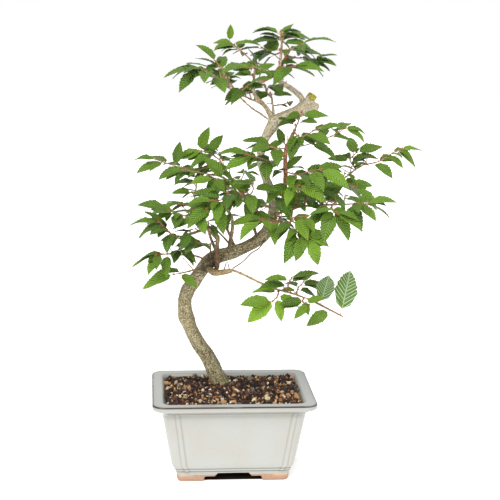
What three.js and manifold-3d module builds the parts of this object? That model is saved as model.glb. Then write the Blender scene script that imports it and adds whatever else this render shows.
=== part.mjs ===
// Korean hornbeam bonsai in a glazed rectangular pot, in millimetres, +Z up.
// The limbs and twigs are measured from the middle of the pot's foot: x to the right,
// y away from the viewer, z up. The finished group stands with its lowest middle at the origin.

import * as THREE from "three";
import { mergeVertices } from "three/addons/utils/BufferGeometryUtils.js";
import Module from "manifold-3d";

const wasm = await Module();
wasm.setup();

// Clearance between pieces that touch
const FIT = 0.3;

// Pot
const POT_HEIGHT = 109.2;
const LIP_HALF_X = 102.5;
const LIP_HALF_Y = 77;
const LIP_CORNER = 15;
const LIP_FACE = 6.8;
const LIP_WIDTH = 14;
const LIP_UNDER = POT_HEIGHT - LIP_FACE;
const FOOT_HEIGHT = 11.5;
const FOOT_ARM_X = 33;
const FOOT_ARM_Y = 27;
const FOOT_STEP = 14;
const FOOT_WIDTH = 9;
const FOOT_INSET = 0.5;
const FOOT_STEP_HEIGHT = 6.4;
const BASE_HALF_X = 72;
const BASE_HALF_Y = 47;
const WALL_FOOT_X = 76.8;
const WALL_FOOT_Y = 51.5;
const WALL_TOP_X = 89;
const WALL_TOP_Y = 64;
const WALL_BOTTOM = FOOT_HEIGHT + 11;
const WALL_TOP = LIP_UNDER - 9;
const WALL = 7;
const FLOOR_TOP = 19;
const DRAIN_RADIUS = 8;
const DRAIN_X = 38;
const BEAD_WIDTH = 5.2;
const BEAD_RISE = 1.2;
const BEAD_FROM_EDGE = 14;

// Drain screens
const SCREEN_SIDE = 26;
const SCREEN_THICK = 1.2;
const SCREEN_CELLS = 2;
const SCREEN_BAR = 4;

// Soil
const SOIL_EDGE = 104.7;
const SOIL_OUTSET = 4;
const SOIL_SHOULDER = 1.2;
const SOIL_LONG_STEPS = 7;
const SOIL_SHORT_STEPS = 5;
const SOIL_MOUND = 2.5;
const SOIL_RELIEF = 1.2;
const SOIL_RINGS = 5;

// Wood: each limb is a list of x, y, z and radius along its middle line
const TRUNK_SIDES = 9;
const LIMB_SIDES = 4;
const TWIG_SIDES = 4;
const TWIG_BASE = 1.6;
const TWIG_TIP = 1.2;
const TRUNK = [
  [-2, 32, 65, 11], [-6, 31, 83, 10.8], [-10, 30, 100, 10.4], [-15.4, 29, 111, 9.9],
  [-30.4, 24, 144, 9.2], [-43.2, 20, 164, 9], [-53, 16, 184, 8.8], [-58.5, 13, 203, 8.5],
  [-61, 10, 223, 8.8], [-57, 8, 237, 8.9], [-50, 6, 248, 8.7], [-42, 4, 261, 8.6],
  [-33, 3, 273, 8.8], [-20, 3, 281, 8.5], [-4, 4, 285, 8], [14, 6, 292, 7.6],
  [31, 8, 301, 7.4], [43, 9, 314, 7], [49, 9, 330, 6.4], [50, 8, 346, 5.8],
  [45, 6, 365, 5.3], [38, 4, 384, 5], [32, 3, 403, 5], [33, 2, 420, 5.2],
  [39, 2, 436, 5.8], [46, 2, 447, 6.3], [55, 2, 454, 6.7], [66, 2, 459, 6.8],
  [79, 1, 464, 7], [90, 0, 468, 6.8], [97, 0, 470, 5.6], [100, 0, 471, 3.4],
];
const LIMBS = {
  stub: [
    [85, 0, 466, 5], [89, -1, 476, 4.8], [94, -2, 484, 4.5],
  ],
  leader_right: [
    [83, 1, 467, 4.6], [81, 5, 480, 4.2], [72, 9, 489, 3.9], [59, 13, 497, 3.6],
    [50, 16, 503, 3.2],
  ],
  leader_left: [
    [46, 2, 452, 4.6], [40, 0, 464, 4.2], [34, -2, 472, 3.8], [24, -4, 482, 3.1],
    [21, -5, 490, 2.3], [21, -5, 500, 1.9], [22, -3, 512, 1.6], [23, 0, 520, 1.4],
  ],
  red_shoot: [
    [21, -5, 494, 2], [28, -9, 500, 2.4], [42, -12, 508, 2.3], [51, -11, 517, 2.1],
    [57, -8, 526, 1.8], [61, -5, 532, 1.5],
  ],
  crown_shoot: [
    [52, -11, 519, 1.9], [53, -9, 532, 1.7], [54, -6, 545, 1.4],
  ],
  fine_leader: [
    [47, 3, 459, 2.4], [46, 8, 470, 2.1], [45, 13, 479, 1.8], [40, 19, 485, 1.5],
    [38, 25, 494, 1.3],
  ],
  left_arm: [
    [43, 0, 452, 2.2], [29, -8, 462, 1.7], [17, -14, 470, 1.6], [-1, -24, 486, 1.6],
    [-12, -30, 495, 1.6], [-21, -34, 504, 1.5],
  ],
  back_arm: [
    [34, -2, 472, 2], [20, 10, 477, 1.6], [7, 24, 483, 1.5], [-6, 38, 493, 1.3],
  ],
  red_stem: [
    [50, 9, 339, 2.8], [60, 2, 352, 2.7], [62, -4, 367, 2.6], [62, -9, 386, 2.5],
    [61, -12, 401, 2.4], [61, -15, 418, 2.2], [65, -18, 430, 2], [71, -21, 444, 1.6],
  ],
  right_low: [
    [48, 9, 330, 2.6], [58, -5, 339, 2.4], [67, -14, 345, 2.3], [85, -24, 350, 1.9],
    [109, -33, 353, 1.6], [130, -40, 355, 1.4],
  ],
  right_high: [
    [50, 8, 343, 3], [64, 22, 351, 2.6], [80, 30, 362, 2.2], [95, 34, 372, 1.9],
    [118, 36, 374, 1.7], [141, 36, 376, 1.6], [156, 35, 387, 1.4], [167, 33, 394, 1.2],
  ],
  front_shoot: [
    [46, 9, 324, 2.6], [50, -10, 328, 2.4], [56, -28, 331, 2.2], [63, -40, 327, 1.8],
    [69, -48, 324, 1.4],
  ],
  right_back: [
    [49, 9, 334, 2.6], [65, 36, 342, 2.2], [87, 60, 352, 1.8], [110, 76, 356, 1.4],
  ],
  left_front: [
    [48, 8, 342, 2.4], [34, -8, 349, 2.2], [18, -20, 356, 2], [2, -30, 361, 1.8],
    [-11, -38, 363, 1.5],
  ],
  left_high: [
    [45, 9, 316, 2.6], [30, 16, 336, 2.4], [16, 20, 353, 2.2], [3, 24, 367, 1.9],
    [-5, 28, 381, 1.7], [-12, 32, 390, 1.5], [-17, 35, 399, 1.3],
  ],
  bend_front: [
    [-25, 3, 278, 3], [-22, -8, 295, 2.8], [-22, -17, 311, 2.5], [-33, -28, 322, 2.2],
    [-46, -38, 321, 1.9], [-64, -48, 317, 1.5],
  ],
  bend_back: [
    [-18, 4, 280, 3], [-27, 18, 298, 2.6], [-33, 30, 316, 2.3], [-41, 38, 334, 2],
    [-48, 42, 349, 1.7], [-46, 44, 363, 1.4],
  ],
  bend_mid: [
    [-7, 3, 283, 3.2], [-5, -6, 303, 2.8], [-3, -13, 322, 2.5], [-5, -18, 336, 2.2],
    [-11, -23, 345, 1.9], [-17, -28, 353, 1.6],
  ],
  left_thin: [
    [-21, -14, 305, 2], [-37, -20, 323, 1.7], [-54, -30, 335, 1.4], [-68, -38, 342, 1.2],
  ],
  low_thin: [
    [-35, 2, 269, 1.8], [-40, -10, 281, 1.6], [-51, -20, 287, 1.4], [-67, -34, 291, 1.3],
    [-81, -42, 294, 1.1],
  ],
  behind: [
    [31, 8, 300, 2.8], [27, 30, 315, 2.4], [24, 48, 332, 2], [16, 64, 345, 1.5],
  ],
  back_left: [
    [3, 5, 288, 2.8], [-3, 30, 302, 2.3], [-12, 54, 320, 1.8], [-22, 72, 333, 1.4],
  ],
  low_limb: [
    [-36, 2, 269, 3.8], [-25, -14, 264, 3.6], [-14, -24, 267, 3.2], [-4, -32, 271, 2.4],
    [11, -42, 267, 2.1], [28, -50, 260, 2], [41, -55, 255, 1.9], [53, -58, 252, 1.8],
    [73, -62, 247, 1.6], [91, -65, 241, 1.4],
  ],
  low_stem: [
    [-41, 4, 261, 2], [-49, -12, 267, 1.6], [-58, -25, 268, 1.3],
  ],
};

const SPRAYS = [
  { name: "top_left_tip", limb: "left_arm", leaves: 6, length: 34, lean: 8, first: 0.2,
    twig: [[-31, -40, 510], [-43, -47, 516], [-55, -52, 518]],
    aims: { 4: [-0.8, -0.4, -0.7, -0.3, -0.8, 0.5], 5: [-1, -0.1, 0.05, 0, -0.3, 1] } },
  { name: "top_left_up", limb: "left_arm", leaves: 4, length: 31, lean: 10, first: 0.4,
    twig: [[-16, -20, 512], [-26, -18, 524]] },
  { name: "top_left_low", limb: "left_arm", leaves: 3, length: 32, lean: 35, first: 0.3,
    twig: [[5, -40, 493], [10, -52, 499]] },
  { name: "top_left_back", limb: "back_arm", leaves: 3, length: 31, lean: -12, first: 0.3,
    twig: [[-15, 48, 502], [-24, 58, 510]] },
  { name: "top_high_left", limb: "leader_left", leaves: 5, length: 30, lean: 8, first: 0.6,
    twig: [[11, 6, 532], [0, 12, 541], [-9, 15, 548]],
    aims: { 1: [-1, -0.2, 0, 0, -0.8, 1], 2: [1, -0.1, 0.3, 0, -0.3, 1],
      3: [-1, 0, 0.15, 0, -0.3, 1], 4: [0.1, -0.1, 1, 0.1, -1, 0.2, 0.7] } },
  { name: "crown_tip", limb: "crown_shoot", leaves: 5, length: 35, lean: 5, first: 0.1,
    twig: [[53, -5, 553], [53, -4, 560]],
    aims: { 0: [1, -0.3, 0.15, 0, -0.5, 1], 1: [-1, -0.2, 0.1, 0, -0.4, 1],
      2: [0.2, 1, 0.1, 0, 0.3, 1], 3: [1, 0.1, 0.05, 0, -0.4, 1], 4: [-1, 0, 0.25, 0, -0.3, 1] } },
  { name: "crown_right", limb: "crown_shoot", leaves: 3, length: 37, lean: 12, first: 0.4,
    twig: [[63, -16, 540], [74, -26, 546]] },
  { name: "crown_left", limb: "crown_shoot", leaves: 3, length: 35, lean: -5, first: 0.4,
    twig: [[45, 6, 533], [33, 16, 540]] },
  { name: "top_right_tip", limb: "red_shoot", leaves: 5, length: 31, lean: 8, first: 0.25,
    twig: [[74, 4, 529], [86, 10, 529], [97, 15, 526]],
    aims: { 4: [1, 0, 0.15, 0, -0.2, 1] } },
  { name: "top_right_low", limb: "red_shoot", leaves: 3, length: 31, lean: 20, first: 0.3,
    twig: [[59, -26, 519], [65, -37, 521]] },
  { name: "top_front", limb: "red_shoot", leaves: 5, length: 33, lean: 22, first: 0.25,
    twig: [[32, -28, 515], [20, -40, 519], [10, -48, 519]],
    aims: { 0: [0.9, -0.4, -0.15, 0.1, -0.8, 0.7, 0.66] } },
  { name: "top_behind", limb: "leader_right", leaves: 2, length: 31, lean: -12, first: 0.3,
    twig: [[46, 26, 509], [40, 38, 514]] },
  { name: "top_middle", limb: "fine_leader", leaves: 2, length: 29, lean: 40, first: 0.5,
    twig: [[41, 10, 494], [45, 0, 496]],
    aims: { 0: [0.35, -0.8, -0.1, 0, -0.9, 0.8, 0.66] } },
  { name: "stub_twig", limb: "fine_leader", leaves: 1, length: 18, lean: 10, first: 0.9,
    twig: [[59, 8, 472], [69, 12, 475]] },
  { name: "left_far_tip", limb: "left_high", leaves: 6, length: 31, lean: 18, first: 0.5,
    twig: [[-32, 34, 389], [-56, 38, 387], [-79, 40, 392], [-97, 42, 398]],
    aims: { 2: [0.2, -0.2, 1, 0, -1, 0.2], 4: [-1, -0.2, -0.1, 0, -0.5, 1],
      5: [-1, 0, 0.2, 0, -0.3, 1] } },
  { name: "left_far_front", limb: "left_high", leaves: 3, length: 31, lean: 22, first: 0.35,
    twig: [[-26, 4, 385], [-45, -10, 389], [-64, -20, 394]] },
  { name: "left_crown", limb: "left_high", leaves: 5, length: 31, lean: 30, first: 0.3,
    twig: [[-27, 38, 405], [-39, 44, 409], [-50, 48, 410]],
    aims: { 1: [0.7, -0.3, 1, 0, -1, 0.4], 3: [0.4, -0.4, 1, 0, -1, 0.3],
      4: [-0.3, -0.5, -0.8, 0, -1, 0.3] } },
  { name: "left_middle", limb: "left_high", leaves: 4, length: 32, lean: 28, first: 0.35,
    twig: [[-11, 2, 378], [-27, -14, 383]] },
  { name: "left_inner", limb: "left_high", leaves: 2, length: 31, lean: 10, first: 0.4,
    twig: [[10, 34, 374], [16, 42, 383]] },
  { name: "left_red_tip", limb: "bend_back", leaves: 4, length: 29, lean: 25, first: 0.3,
    twig: [[-46, 46, 371], [-45, 47, 382]] },
  { name: "left_back_low", limb: "bend_back", leaves: 3, length: 30, lean: 15, first: 0.35,
    twig: [[-54, 30, 342], [-67, 24, 344]] },
  { name: "left_pale", limb: "bend_mid", leaves: 3, length: 33, lean: 50, first: 0.4,
    twig: [[-27, -42, 355], [-36, -54, 353]] },
  { name: "left_low_tip", limb: "bend_front", leaves: 6, length: 30, lean: 15, first: 0.45,
    twig: [[-77, -54, 319], [-86, -58, 328], [-94, -62, 337]],
    aims: { 4: [-1, 0, -0.25, 0, -0.4, 1], 5: [-1, 0, 0.15, 0, -0.2, 1] } },
  { name: "left_dark", limb: "bend_front", leaves: 3, length: 32, lean: 32, first: 0.4,
    twig: [[-40, -46, 335], [-47, -58, 345]] },
  { name: "left_thin_tip", limb: "left_thin", leaves: 4, length: 30, lean: 25, first: 0.1,
    twig: [[-77, -44, 346], [-85, -48, 349]] },
  { name: "left_under", limb: "low_thin", leaves: 4, length: 29, lean: 15, first: 0.1,
    twig: [[-90, -45, 294], [-97, -50, 294]] },
  { name: "bend_leaves", limb: "bend_front", leaves: 3, length: 33, lean: 20, first: 0.4,
    twig: [[-38, -22, 300], [-48, -38, 307]],
    aims: { 0: [-0.8, -0.45, 0.1, 0, -0.6, 0.8] } },
  { name: "low_left", limb: "low_stem", leaves: 3, length: 35, lean: 20, first: 0.3,
    twig: [[-67, -34, 268], [-75, -40, 268]],
    aims: { 1: [0.85, -0.45, -0.45, 0.1, -0.9, 0.6, 0.66], 2: [-1, -0.2, -0.35, -0.2, -0.7, 1] } },
  { name: "trunk_front", limb: "red_stem", leaves: 5, length: 33, lean: 22, first: 0.35,
    twig: [[45, -28, 405], [27, -38, 411], [10, -44, 416]] },
  { name: "left_front_tip", limb: "left_front", leaves: 3, length: 31, lean: 30, first: 0.3,
    twig: [[-20, -46, 361], [-30, -53, 361]] },
  { name: "trunk_left", limb: "left_front", leaves: 3, length: 31, lean: 28, first: 0.4,
    twig: [[19, -34, 369], [19, -44, 380]] },
  { name: "behind_tip", limb: "behind", leaves: 3, length: 32, lean: -20, first: 0.3,
    twig: [[7, 74, 354], [-2, 82, 362]] },
  { name: "back_left_tip", limb: "back_left", leaves: 3, length: 32, lean: -20, first: 0.3,
    twig: [[-32, 82, 342], [-43, 92, 349]] },
  { name: "red_tip", limb: "red_stem", leaves: 4, length: 28, lean: 20, first: 0.3,
    twig: [[75, -24, 456], [78, -26, 465]],
    aims: { 1: [-1, -0.25, -0.05, 0, -0.6, 1, 0.9], 2: [0.9, -0.3, -0.25, 0, -0.7, 1],
      3: [-0.8, -0.4, -0.15, 0, -1, 0.6, 0.6] } },
  { name: "right_top", limb: "red_stem", leaves: 5, length: 33, lean: 18, first: 0.3,
    twig: [[77, -32, 436], [97, -40, 448]] },
  { name: "right_top_twig", limb: "red_stem", leaves: 5, length: 31, lean: 20, first: 0.4,
    twig: [[79, -8, 422], [100, -2, 427], [123, 4, 435], [137, 8, 443]],
    aims: { 4: [1, 0, 0.2, 0, -0.4, 1] } },
  { name: "red_left", limb: "red_stem", leaves: 4, length: 31, lean: 25, first: 0.3,
    twig: [[48, -30, 422], [38, -40, 425]] },
  { name: "red_right", limb: "red_stem", leaves: 5, length: 35, lean: 30, first: 0.35,
    twig: [[76, -24, 389], [90, -34, 395], [100, -40, 398]] },
  { name: "red_front", limb: "red_stem", leaves: 4, length: 33, lean: 38, first: 0.35,
    twig: [[67, -28, 378], [74, -42, 379]] },
  { name: "right_mid", limb: "right_high", leaves: 3, length: 33, lean: 30, first: 0.35,
    twig: [[140, 14, 371], [152, 2, 370]] },
  { name: "right_up", limb: "right_high", leaves: 5, length: 31, lean: 25, first: 0.3,
    twig: [[151, 44, 399], [160, 52, 407]] },
  { name: "right_tip", limb: "right_high", leaves: 6, length: 29, lean: 15, first: 0.2,
    twig: [[186, 30, 399], [202, 26, 410], [212, 24, 416]],
    aims: { 4: [0.9, -0.1, -0.4, 0.2, -0.6, 1], 5: [1, 0, 0.1, 0, -0.3, 1] } },
  { name: "right_inner", limb: "right_high", leaves: 4, length: 34, lean: 32, first: 0.35,
    twig: [[94, 4, 363], [104, -10, 364]] },
  { name: "right_behind", limb: "right_high", leaves: 3, length: 33, lean: 0, first: 0.35,
    twig: [[115, 46, 383], [128, 54, 388]] },
  { name: "right_low_tip", limb: "right_low", leaves: 5, length: 33, lean: 25, first: 0.2,
    twig: [[145, -46, 357], [158, -52, 358]],
    aims: { 3: [1, -0.1, -0.2, 0, -0.2, 1], 4: [1, 0.1, 0.25, 0, -0.4, 1] } },
  { name: "right_low_mid", limb: "right_low", leaves: 4, length: 35, lean: 30, first: 0.35,
    twig: [[114, -50, 351], [118, -60, 348]] },
  { name: "front_right", limb: "front_shoot", leaves: 5, length: 33, lean: 28, first: 0.3,
    twig: [[68, -44, 339], [83, -54, 342]] },
  { name: "front_low", limb: "front_shoot", leaves: 5, length: 34, lean: 48, first: 0.2,
    twig: [[77, -57, 322], [84, -65, 320]],
    aims: { 4: [0.5, -0.3, -1, 0.2, -1, 0.1] } },
  { name: "front_left", limb: "front_shoot", leaves: 4, length: 33, lean: 26, first: 0.3,
    twig: [[40, -42, 336], [28, -54, 339]] },
  { name: "right_back_tip", limb: "right_back", leaves: 4, length: 33, lean: -20, first: 0.25,
    twig: [[130, 86, 357], [150, 94, 360]] },
  { name: "low_right_up", limb: "low_limb", leaves: 4, length: 31, lean: 25, first: 0.35,
    twig: [[62, -70, 263], [64, -78, 272]],
    aims: { 0: [-1, -0.25, 0.2, 0, -0.5, 1], 2: [-1, -0.1, 0.3, 0, -0.4, 1],
      3: [1, 0.1, 0.25, 0, -0.3, 1, 0.7] } },
  { name: "low_right_lime", limb: "low_limb", leaves: 3, length: 38, lean: 45, first: 0.5,
    twig: [[48, -68, 246], [43, -76, 243]],
    aims: { 0: [0.2, -0.4, -0.9, 0.1, -1, 0.3, 0.72], 1: [-1, -0.3, -0.7, -0.2, -1, 0.4],
      2: [-1, -0.1, 0.02, 0, -0.7, 0.9, 0.88] } },
  { name: "low_right_back", limb: "low_limb", leaves: 4, length: 30, lean: 15, first: 0.35,
    twig: [[76, -48, 252], [83, -40, 257]] },
  { name: "low_right_front", limb: "low_limb", leaves: 3, length: 30, lean: 35, first: 0.4,
    twig: [[79, -74, 241], [85, -84, 241]],
    aims: { 0: [-0.9, -0.35, 0.1, 0, -0.8, 0.9, 0.85], 1: [0.9, -0.1, 0.4, 0, -0.7, 0.9, 0.8],
      2: [-0.6, -0.5, -0.4, -0.2, -1, 0.5, 0.85] } },
  { name: "low_right_tip", limb: "low_limb", leaves: 3, length: 52, lean: 70, first: 0.3,
    twig: [[109, -68, 232], [127, -71, 223]],
    aims: { 0: [0.15, -0.4, 1, 0.2, 1, 0.2, 0.92], 1: [-0.9, -0.4, -0.4, -0.2, -1, 0.5, 0.71],
      2: [0.2, 0, 1, 0.3, 1, 0.1] } },
];

// Leaf: ovate, half-width as a share of the blade's length
const LEAF_THICK = 0.7;
const BASE_SPREAD = 58;
const SPREAD_LOSS = 42;
const SPREAD_VARIETY = 18;
const LEAST_DROOP = 0;
const DROOP_VARIETY = 18;
const DEPTH_SHARE = 0.6;
const ROLL_VARIETY = 30;
const LEAST_LENGTH = 0.84;
const LENGTH_VARIETY = 0.3;
const LEAST_BEND = 22;
const BEND_VARIETY = 26;
const LEAST_FOLD = 9;
const FOLD_VARIETY = 13;
const LEAF_HALF = 0.29;
const STALK_SHARE = 0.15;
const STALK_HALF = 0.4;
const OUTLINE = [[0.17, 0.82], [0.45, 1], [0.55, 0.8]];
const GUARD_ROWS = [0.08, 0.24, 0.4, 0.56, 0.72, 0.9];
const GUARD_COLUMNS = [-0.85, -0.42, 0, 0.42, 0.85];
const OTHER_LEAF_GAP = 5.2;
const OWN_LEAF_GAP = 2.4;
const HEIGHT_WEIGHT = 1.9;
const WOOD_GAP = 3.4;
// Changes of droop, roll and heading in degrees, tried in turn until a leaf hangs clear
const TURNS = [
  [0, 0, 0], [12, 0, 0], [-14, 0, 0], [0, 18, 8], [0, -18, -8], [24, 10, 0], [-26, -10, 0],
  [10, 30, 22], [-10, -30, -22], [36, 0, -15], [-38, 0, 15],
];
const SHRINKS = [1, 0.8];
const DEGREE = Math.PI / 180;

// Fixed sequence of draws between 0 and 1
function drawsFrom(seed) {
  let state = seed;
  return () => {
    state = (state * 1664525 + 1013904223) % 4294967296;
    return state / 4294967296;
  };
}

function vector(point) {
  return new THREE.Vector3(point[0], point[1], point[2]);
}

// Closed geometry with shared corners as a solid
function solidOf(geometry) {
  const bare = geometry.clone();
  bare.deleteAttribute("normal");
  bare.deleteAttribute("uv");
  const merged = mergeVertices(bare, 1e-4);
  return new wasm.Manifold(new wasm.Mesh({
    numProp: 3,
    vertProperties: new Float32Array(merged.attributes.position.array),
    triVerts: new Uint32Array(merged.index.array),
  }));
}

function geometryOf(solid) {
  const mesh = solid.getMesh();
  const geometry = new THREE.BufferGeometry();
  geometry.setAttribute("position", new THREE.BufferAttribute(mesh.vertProperties, 3));
  geometry.setIndex(new THREE.BufferAttribute(mesh.triVerts, 1));
  geometry.computeVertexNormals();
  return geometry;
}

function joined(solids) {
  return solids.reduce((whole, next) => whole.add(next));
}

function curveThrough(points) {
  return new THREE.CatmullRomCurve3(points.map(vector), false, "catmullrom", 0.5);
}

// Place, radius and direction at a share of a middle line, which runs straight between its points
function spotOn(points, share) {
  const spans = points.length - 1;
  const span = Math.min(Math.floor(share * spans), spans - 1);
  const part = share * spans - span;
  const [from, to] = [points[span], points[span + 1]];
  return {
    place: vector(from).lerp(vector(to), part),
    radius: from[3] * (1 - part) + to[3] * part,
    along: vector(to).sub(vector(from)).normalize(),
  };
}

// A cylinder bent along the middle line through the points, with their radii
function bentCylinder(points, sides, swell = 0, corner = [0, 1, 0]) {
  const curve = curveThrough(points);
  const spans = points.length - 1;
  const geometry = new THREE.CylinderGeometry(1, 1, 1, sides, spans);
  const frames = [];
  let across = vector(corner);
  for (let ring = 0; ring <= spans; ring += 1) {
    const along = curve.getTangent(ring / spans);
    across = across.clone().addScaledVector(along, -across.dot(along)).normalize();
    const third = across.clone().cross(along);
    frames.push({ centre: vector(points[ring]), across, third, radius: points[ring][3] + swell });
  }
  const position = geometry.attributes.position;
  for (let index = 0; index < position.count; index += 1) {
    const frame = frames[Math.round((position.getY(index) + 0.5) * spans)];
    const place = frame.centre.clone();
    place.addScaledVector(frame.across, position.getX(index) * frame.radius);
    place.addScaledVector(frame.third, position.getZ(index) * frame.radius);
    position.setXYZ(index, place.x, place.y, place.z);
  }
  return geometry;
}

// Corner-rounded rectangle as a ring of points, counter-clockwise from above
function roundedRing(halfX, halfY, corner, longSteps = 1, shortSteps = 1) {
  const points = [];
  const centres = [[1, -1], [1, 1], [-1, 1], [-1, -1]];
  centres.forEach(([signX, signY], quarter) => {
    for (let step = 0; step <= 3; step += 1) {
      const angle = (quarter - 1 + step / 3) * Math.PI / 2;
      points.push([
        signX * (halfX - corner) + corner * Math.cos(angle),
        signY * (halfY - corner) + corner * Math.sin(angle),
      ]);
    }
    const steps = quarter % 2 === 0 ? shortSteps : longSteps;
    const flat = (quarter % 2 === 0 ? halfY : halfX) - corner;
    const run = quarter % 2 === 0 ? [0, 1] : [-1, 0];
    const sign = quarter < 2 ? 1 : -1;
    const last = points[points.length - 1];
    for (let step = 1; step < steps; step += 1) {
      const travel = 2 * flat * step / steps * sign;
      points.push([last[0] + run[0] * travel, last[1] + run[1] * travel]);
    }
  });
  return points;
}

// Closed solid through rings of equal count, each a list of points at one height or more
function loft(rings) {
  const count = rings[0].length;
  const geometry = new THREE.BufferGeometry();
  geometry.setAttribute("position", new THREE.Float32BufferAttribute(rings.flat(2), 3));
  const faces = [];
  for (let ring = 0; ring < rings.length - 1; ring += 1) {
    for (let step = 0; step < count; step += 1) {
      const here = ring * count + step;
      const beside = ring * count + (step + 1) % count;
      faces.push(here, beside, beside + count, here, beside + count, here + count);
    }
  }
  const top = (rings.length - 1) * count;
  for (let step = 1; step < count - 1; step += 1) {
    faces.push(0, step + 1, step);
    faces.push(top, top + step, top + step + 1);
  }
  geometry.setIndex(faces);
  return geometry;
}

function levelRing(height, halfX, halfY, corner, longSteps, shortSteps) {
  return roundedRing(halfX, halfY, corner, longSteps, shortSteps).map(([x, y]) => [x, y, height]);
}

// Half-sizes of the outer wall at a height
function wallHalf(height) {
  const share = (height - WALL_BOTTOM) / (WALL_TOP - WALL_BOTTOM);
  return [
    WALL_FOOT_X + (WALL_TOP_X - WALL_FOOT_X) * share,
    WALL_FOOT_Y + (WALL_TOP_Y - WALL_FOOT_Y) * share,
  ];
}

// The hollow that the soil fills, a little smaller by the given clearance
function hollowRings(shrink, longSteps, shortSteps) {
  const sections = [
    [FLOOR_TOP + shrink, WALL_FOOT_X - WALL, WALL_FOOT_Y - WALL, 5],
    [WALL_TOP, WALL_TOP_X - WALL, WALL_TOP_Y - WALL, 8],
    [SOIL_EDGE, WALL_TOP_X - WALL + SOIL_OUTSET, WALL_TOP_Y - WALL + SOIL_OUTSET, 10],
    [POT_HEIGHT + 1, LIP_HALF_X - LIP_WIDTH, LIP_HALF_Y - LIP_WIDTH, 11],
  ];
  return sections.map(([height, halfX, halfY, corner]) => (
    levelRing(height, halfX - shrink, halfY - shrink, corner - shrink, longSteps, shortSteps)
  ));
}

// One L-shaped bracket foot with an ogee step at each arm's end, for the corner of given signs
function footSolids(signX, signY) {
  return [[0, 0], [FOOT_STEP, FOOT_STEP_HEIGHT]].map(([longer, from]) => {
    const armX = FOOT_ARM_X + longer;
    const armY = FOOT_ARM_Y + longer;
    const outerX = BASE_HALF_X - FOOT_INSET;
    const outerY = BASE_HALF_Y - FOOT_INSET;
    const shape = new THREE.Shape();
    shape.moveTo(outerX, outerY);
    shape.lineTo(outerX - armX, outerY);
    shape.lineTo(outerX - armX + 2, outerY - FOOT_WIDTH);
    shape.lineTo(outerX - FOOT_WIDTH - 3, outerY - FOOT_WIDTH);
    shape.lineTo(outerX - FOOT_WIDTH, outerY - FOOT_WIDTH - 3);
    shape.lineTo(outerX - FOOT_WIDTH, outerY - armY + 2);
    shape.lineTo(outerX, outerY - armY);
    const depth = FOOT_HEIGHT + 1 - from;
    const block = new THREE.ExtrudeGeometry(shape, { depth, bevelEnabled: false });
    block.translate(0, 0, from);
    block.scale(signX, signY, 1);
    return signX * signY < 0 ? flipped(mergeVertices(block)) : block;
  });
}

// Mirrored geometry with its faces turned out again
function flipped(geometry) {
  const index = geometry.index;
  for (let face = 0; face < index.count; face += 3) {
    const second = index.getX(face + 1);
    index.setX(face + 1, index.getX(face + 2));
    index.setX(face + 2, second);
  }
  return geometry;
}

// Raised upright bead near a corner: along X faces when acrossX is true
function beadGeometry(acrossX, signX, signY) {
  const heights = [WALL_BOTTOM + 0.5, WALL_TOP + 3];
  const rings = heights.map((height) => {
    const [halfX, halfY] = wallHalf(Math.min(height, WALL_TOP));
    const main = acrossX ? halfX : halfY;
    const side = acrossX ? halfY : halfX;
    const centre = (side - BEAD_FROM_EDGE) * (acrossX ? signY : signX);
    const [outer, inner] = [main + BEAD_RISE, main - 2];
    const [low, high] = [centre - BEAD_WIDTH / 2, centre + BEAD_WIDTH / 2];
    const corners = [[inner, low], [outer, low], [outer, high], [inner, high]];
    if (acrossX) {
      const ring = corners.map(([x, y]) => [x * signX, y, height]);
      return signX > 0 ? ring : ring.reverse();
    }
    const ring = corners.map(([y, x]) => [x, y * signY, height]);
    return signY > 0 ? ring.reverse() : ring;
  });
  return loft(rings);
}

function potGeometry() {
  const rings = [
    levelRing(FOOT_HEIGHT, BASE_HALF_X, BASE_HALF_Y, 7),
    levelRing(FOOT_HEIGHT + 3.5, BASE_HALF_X + 1.5, BASE_HALF_Y + 1.5, 7),
    levelRing(FOOT_HEIGHT + 4, BASE_HALF_X + 3.2, BASE_HALF_Y + 3, 7),
    levelRing(FOOT_HEIGHT + 8, BASE_HALF_X + 3.8, BASE_HALF_Y + 3.6, 7),
    levelRing(WALL_BOTTOM, WALL_FOOT_X, WALL_FOOT_Y, 8),
    levelRing(WALL_TOP, WALL_TOP_X, WALL_TOP_Y, 10),
    levelRing(LIP_UNDER - 4, WALL_TOP_X + 4, WALL_TOP_Y + 4, 11),
    levelRing(LIP_UNDER - 1, LIP_HALF_X - 4, LIP_HALF_Y - 4, 13),
    levelRing(LIP_UNDER, LIP_HALF_X - 0.8, LIP_HALF_Y - 0.8, LIP_CORNER),
    levelRing(POT_HEIGHT - 1.5, LIP_HALF_X, LIP_HALF_Y, LIP_CORNER),
    levelRing(POT_HEIGHT, LIP_HALF_X - 1.2, LIP_HALF_Y - 1.2, LIP_CORNER - 1),
  ];
  const parts = [solidOf(loft(rings))];
  [[1, 1], [-1, 1], [-1, -1], [1, -1]].forEach(([signX, signY]) => {
    parts.push(...footSolids(signX, signY).map(solidOf));
    parts.push(solidOf(beadGeometry(true, signX, signY)));
    parts.push(solidOf(beadGeometry(false, signX, signY)));
  });
  let pot = joined(parts).subtract(solidOf(loft(hollowRings(0))));
  [-DRAIN_X, DRAIN_X].forEach((x) => {
    const drain = new THREE.CylinderGeometry(DRAIN_RADIUS, DRAIN_RADIUS, 3 * FLOOR_TOP, 10);
    drain.rotateX(Math.PI / 2);
    drain.translate(x, 0, FLOOR_TOP);
    pot = pot.subtract(solidOf(drain));
  });
  return geometryOf(pot);
}

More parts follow.
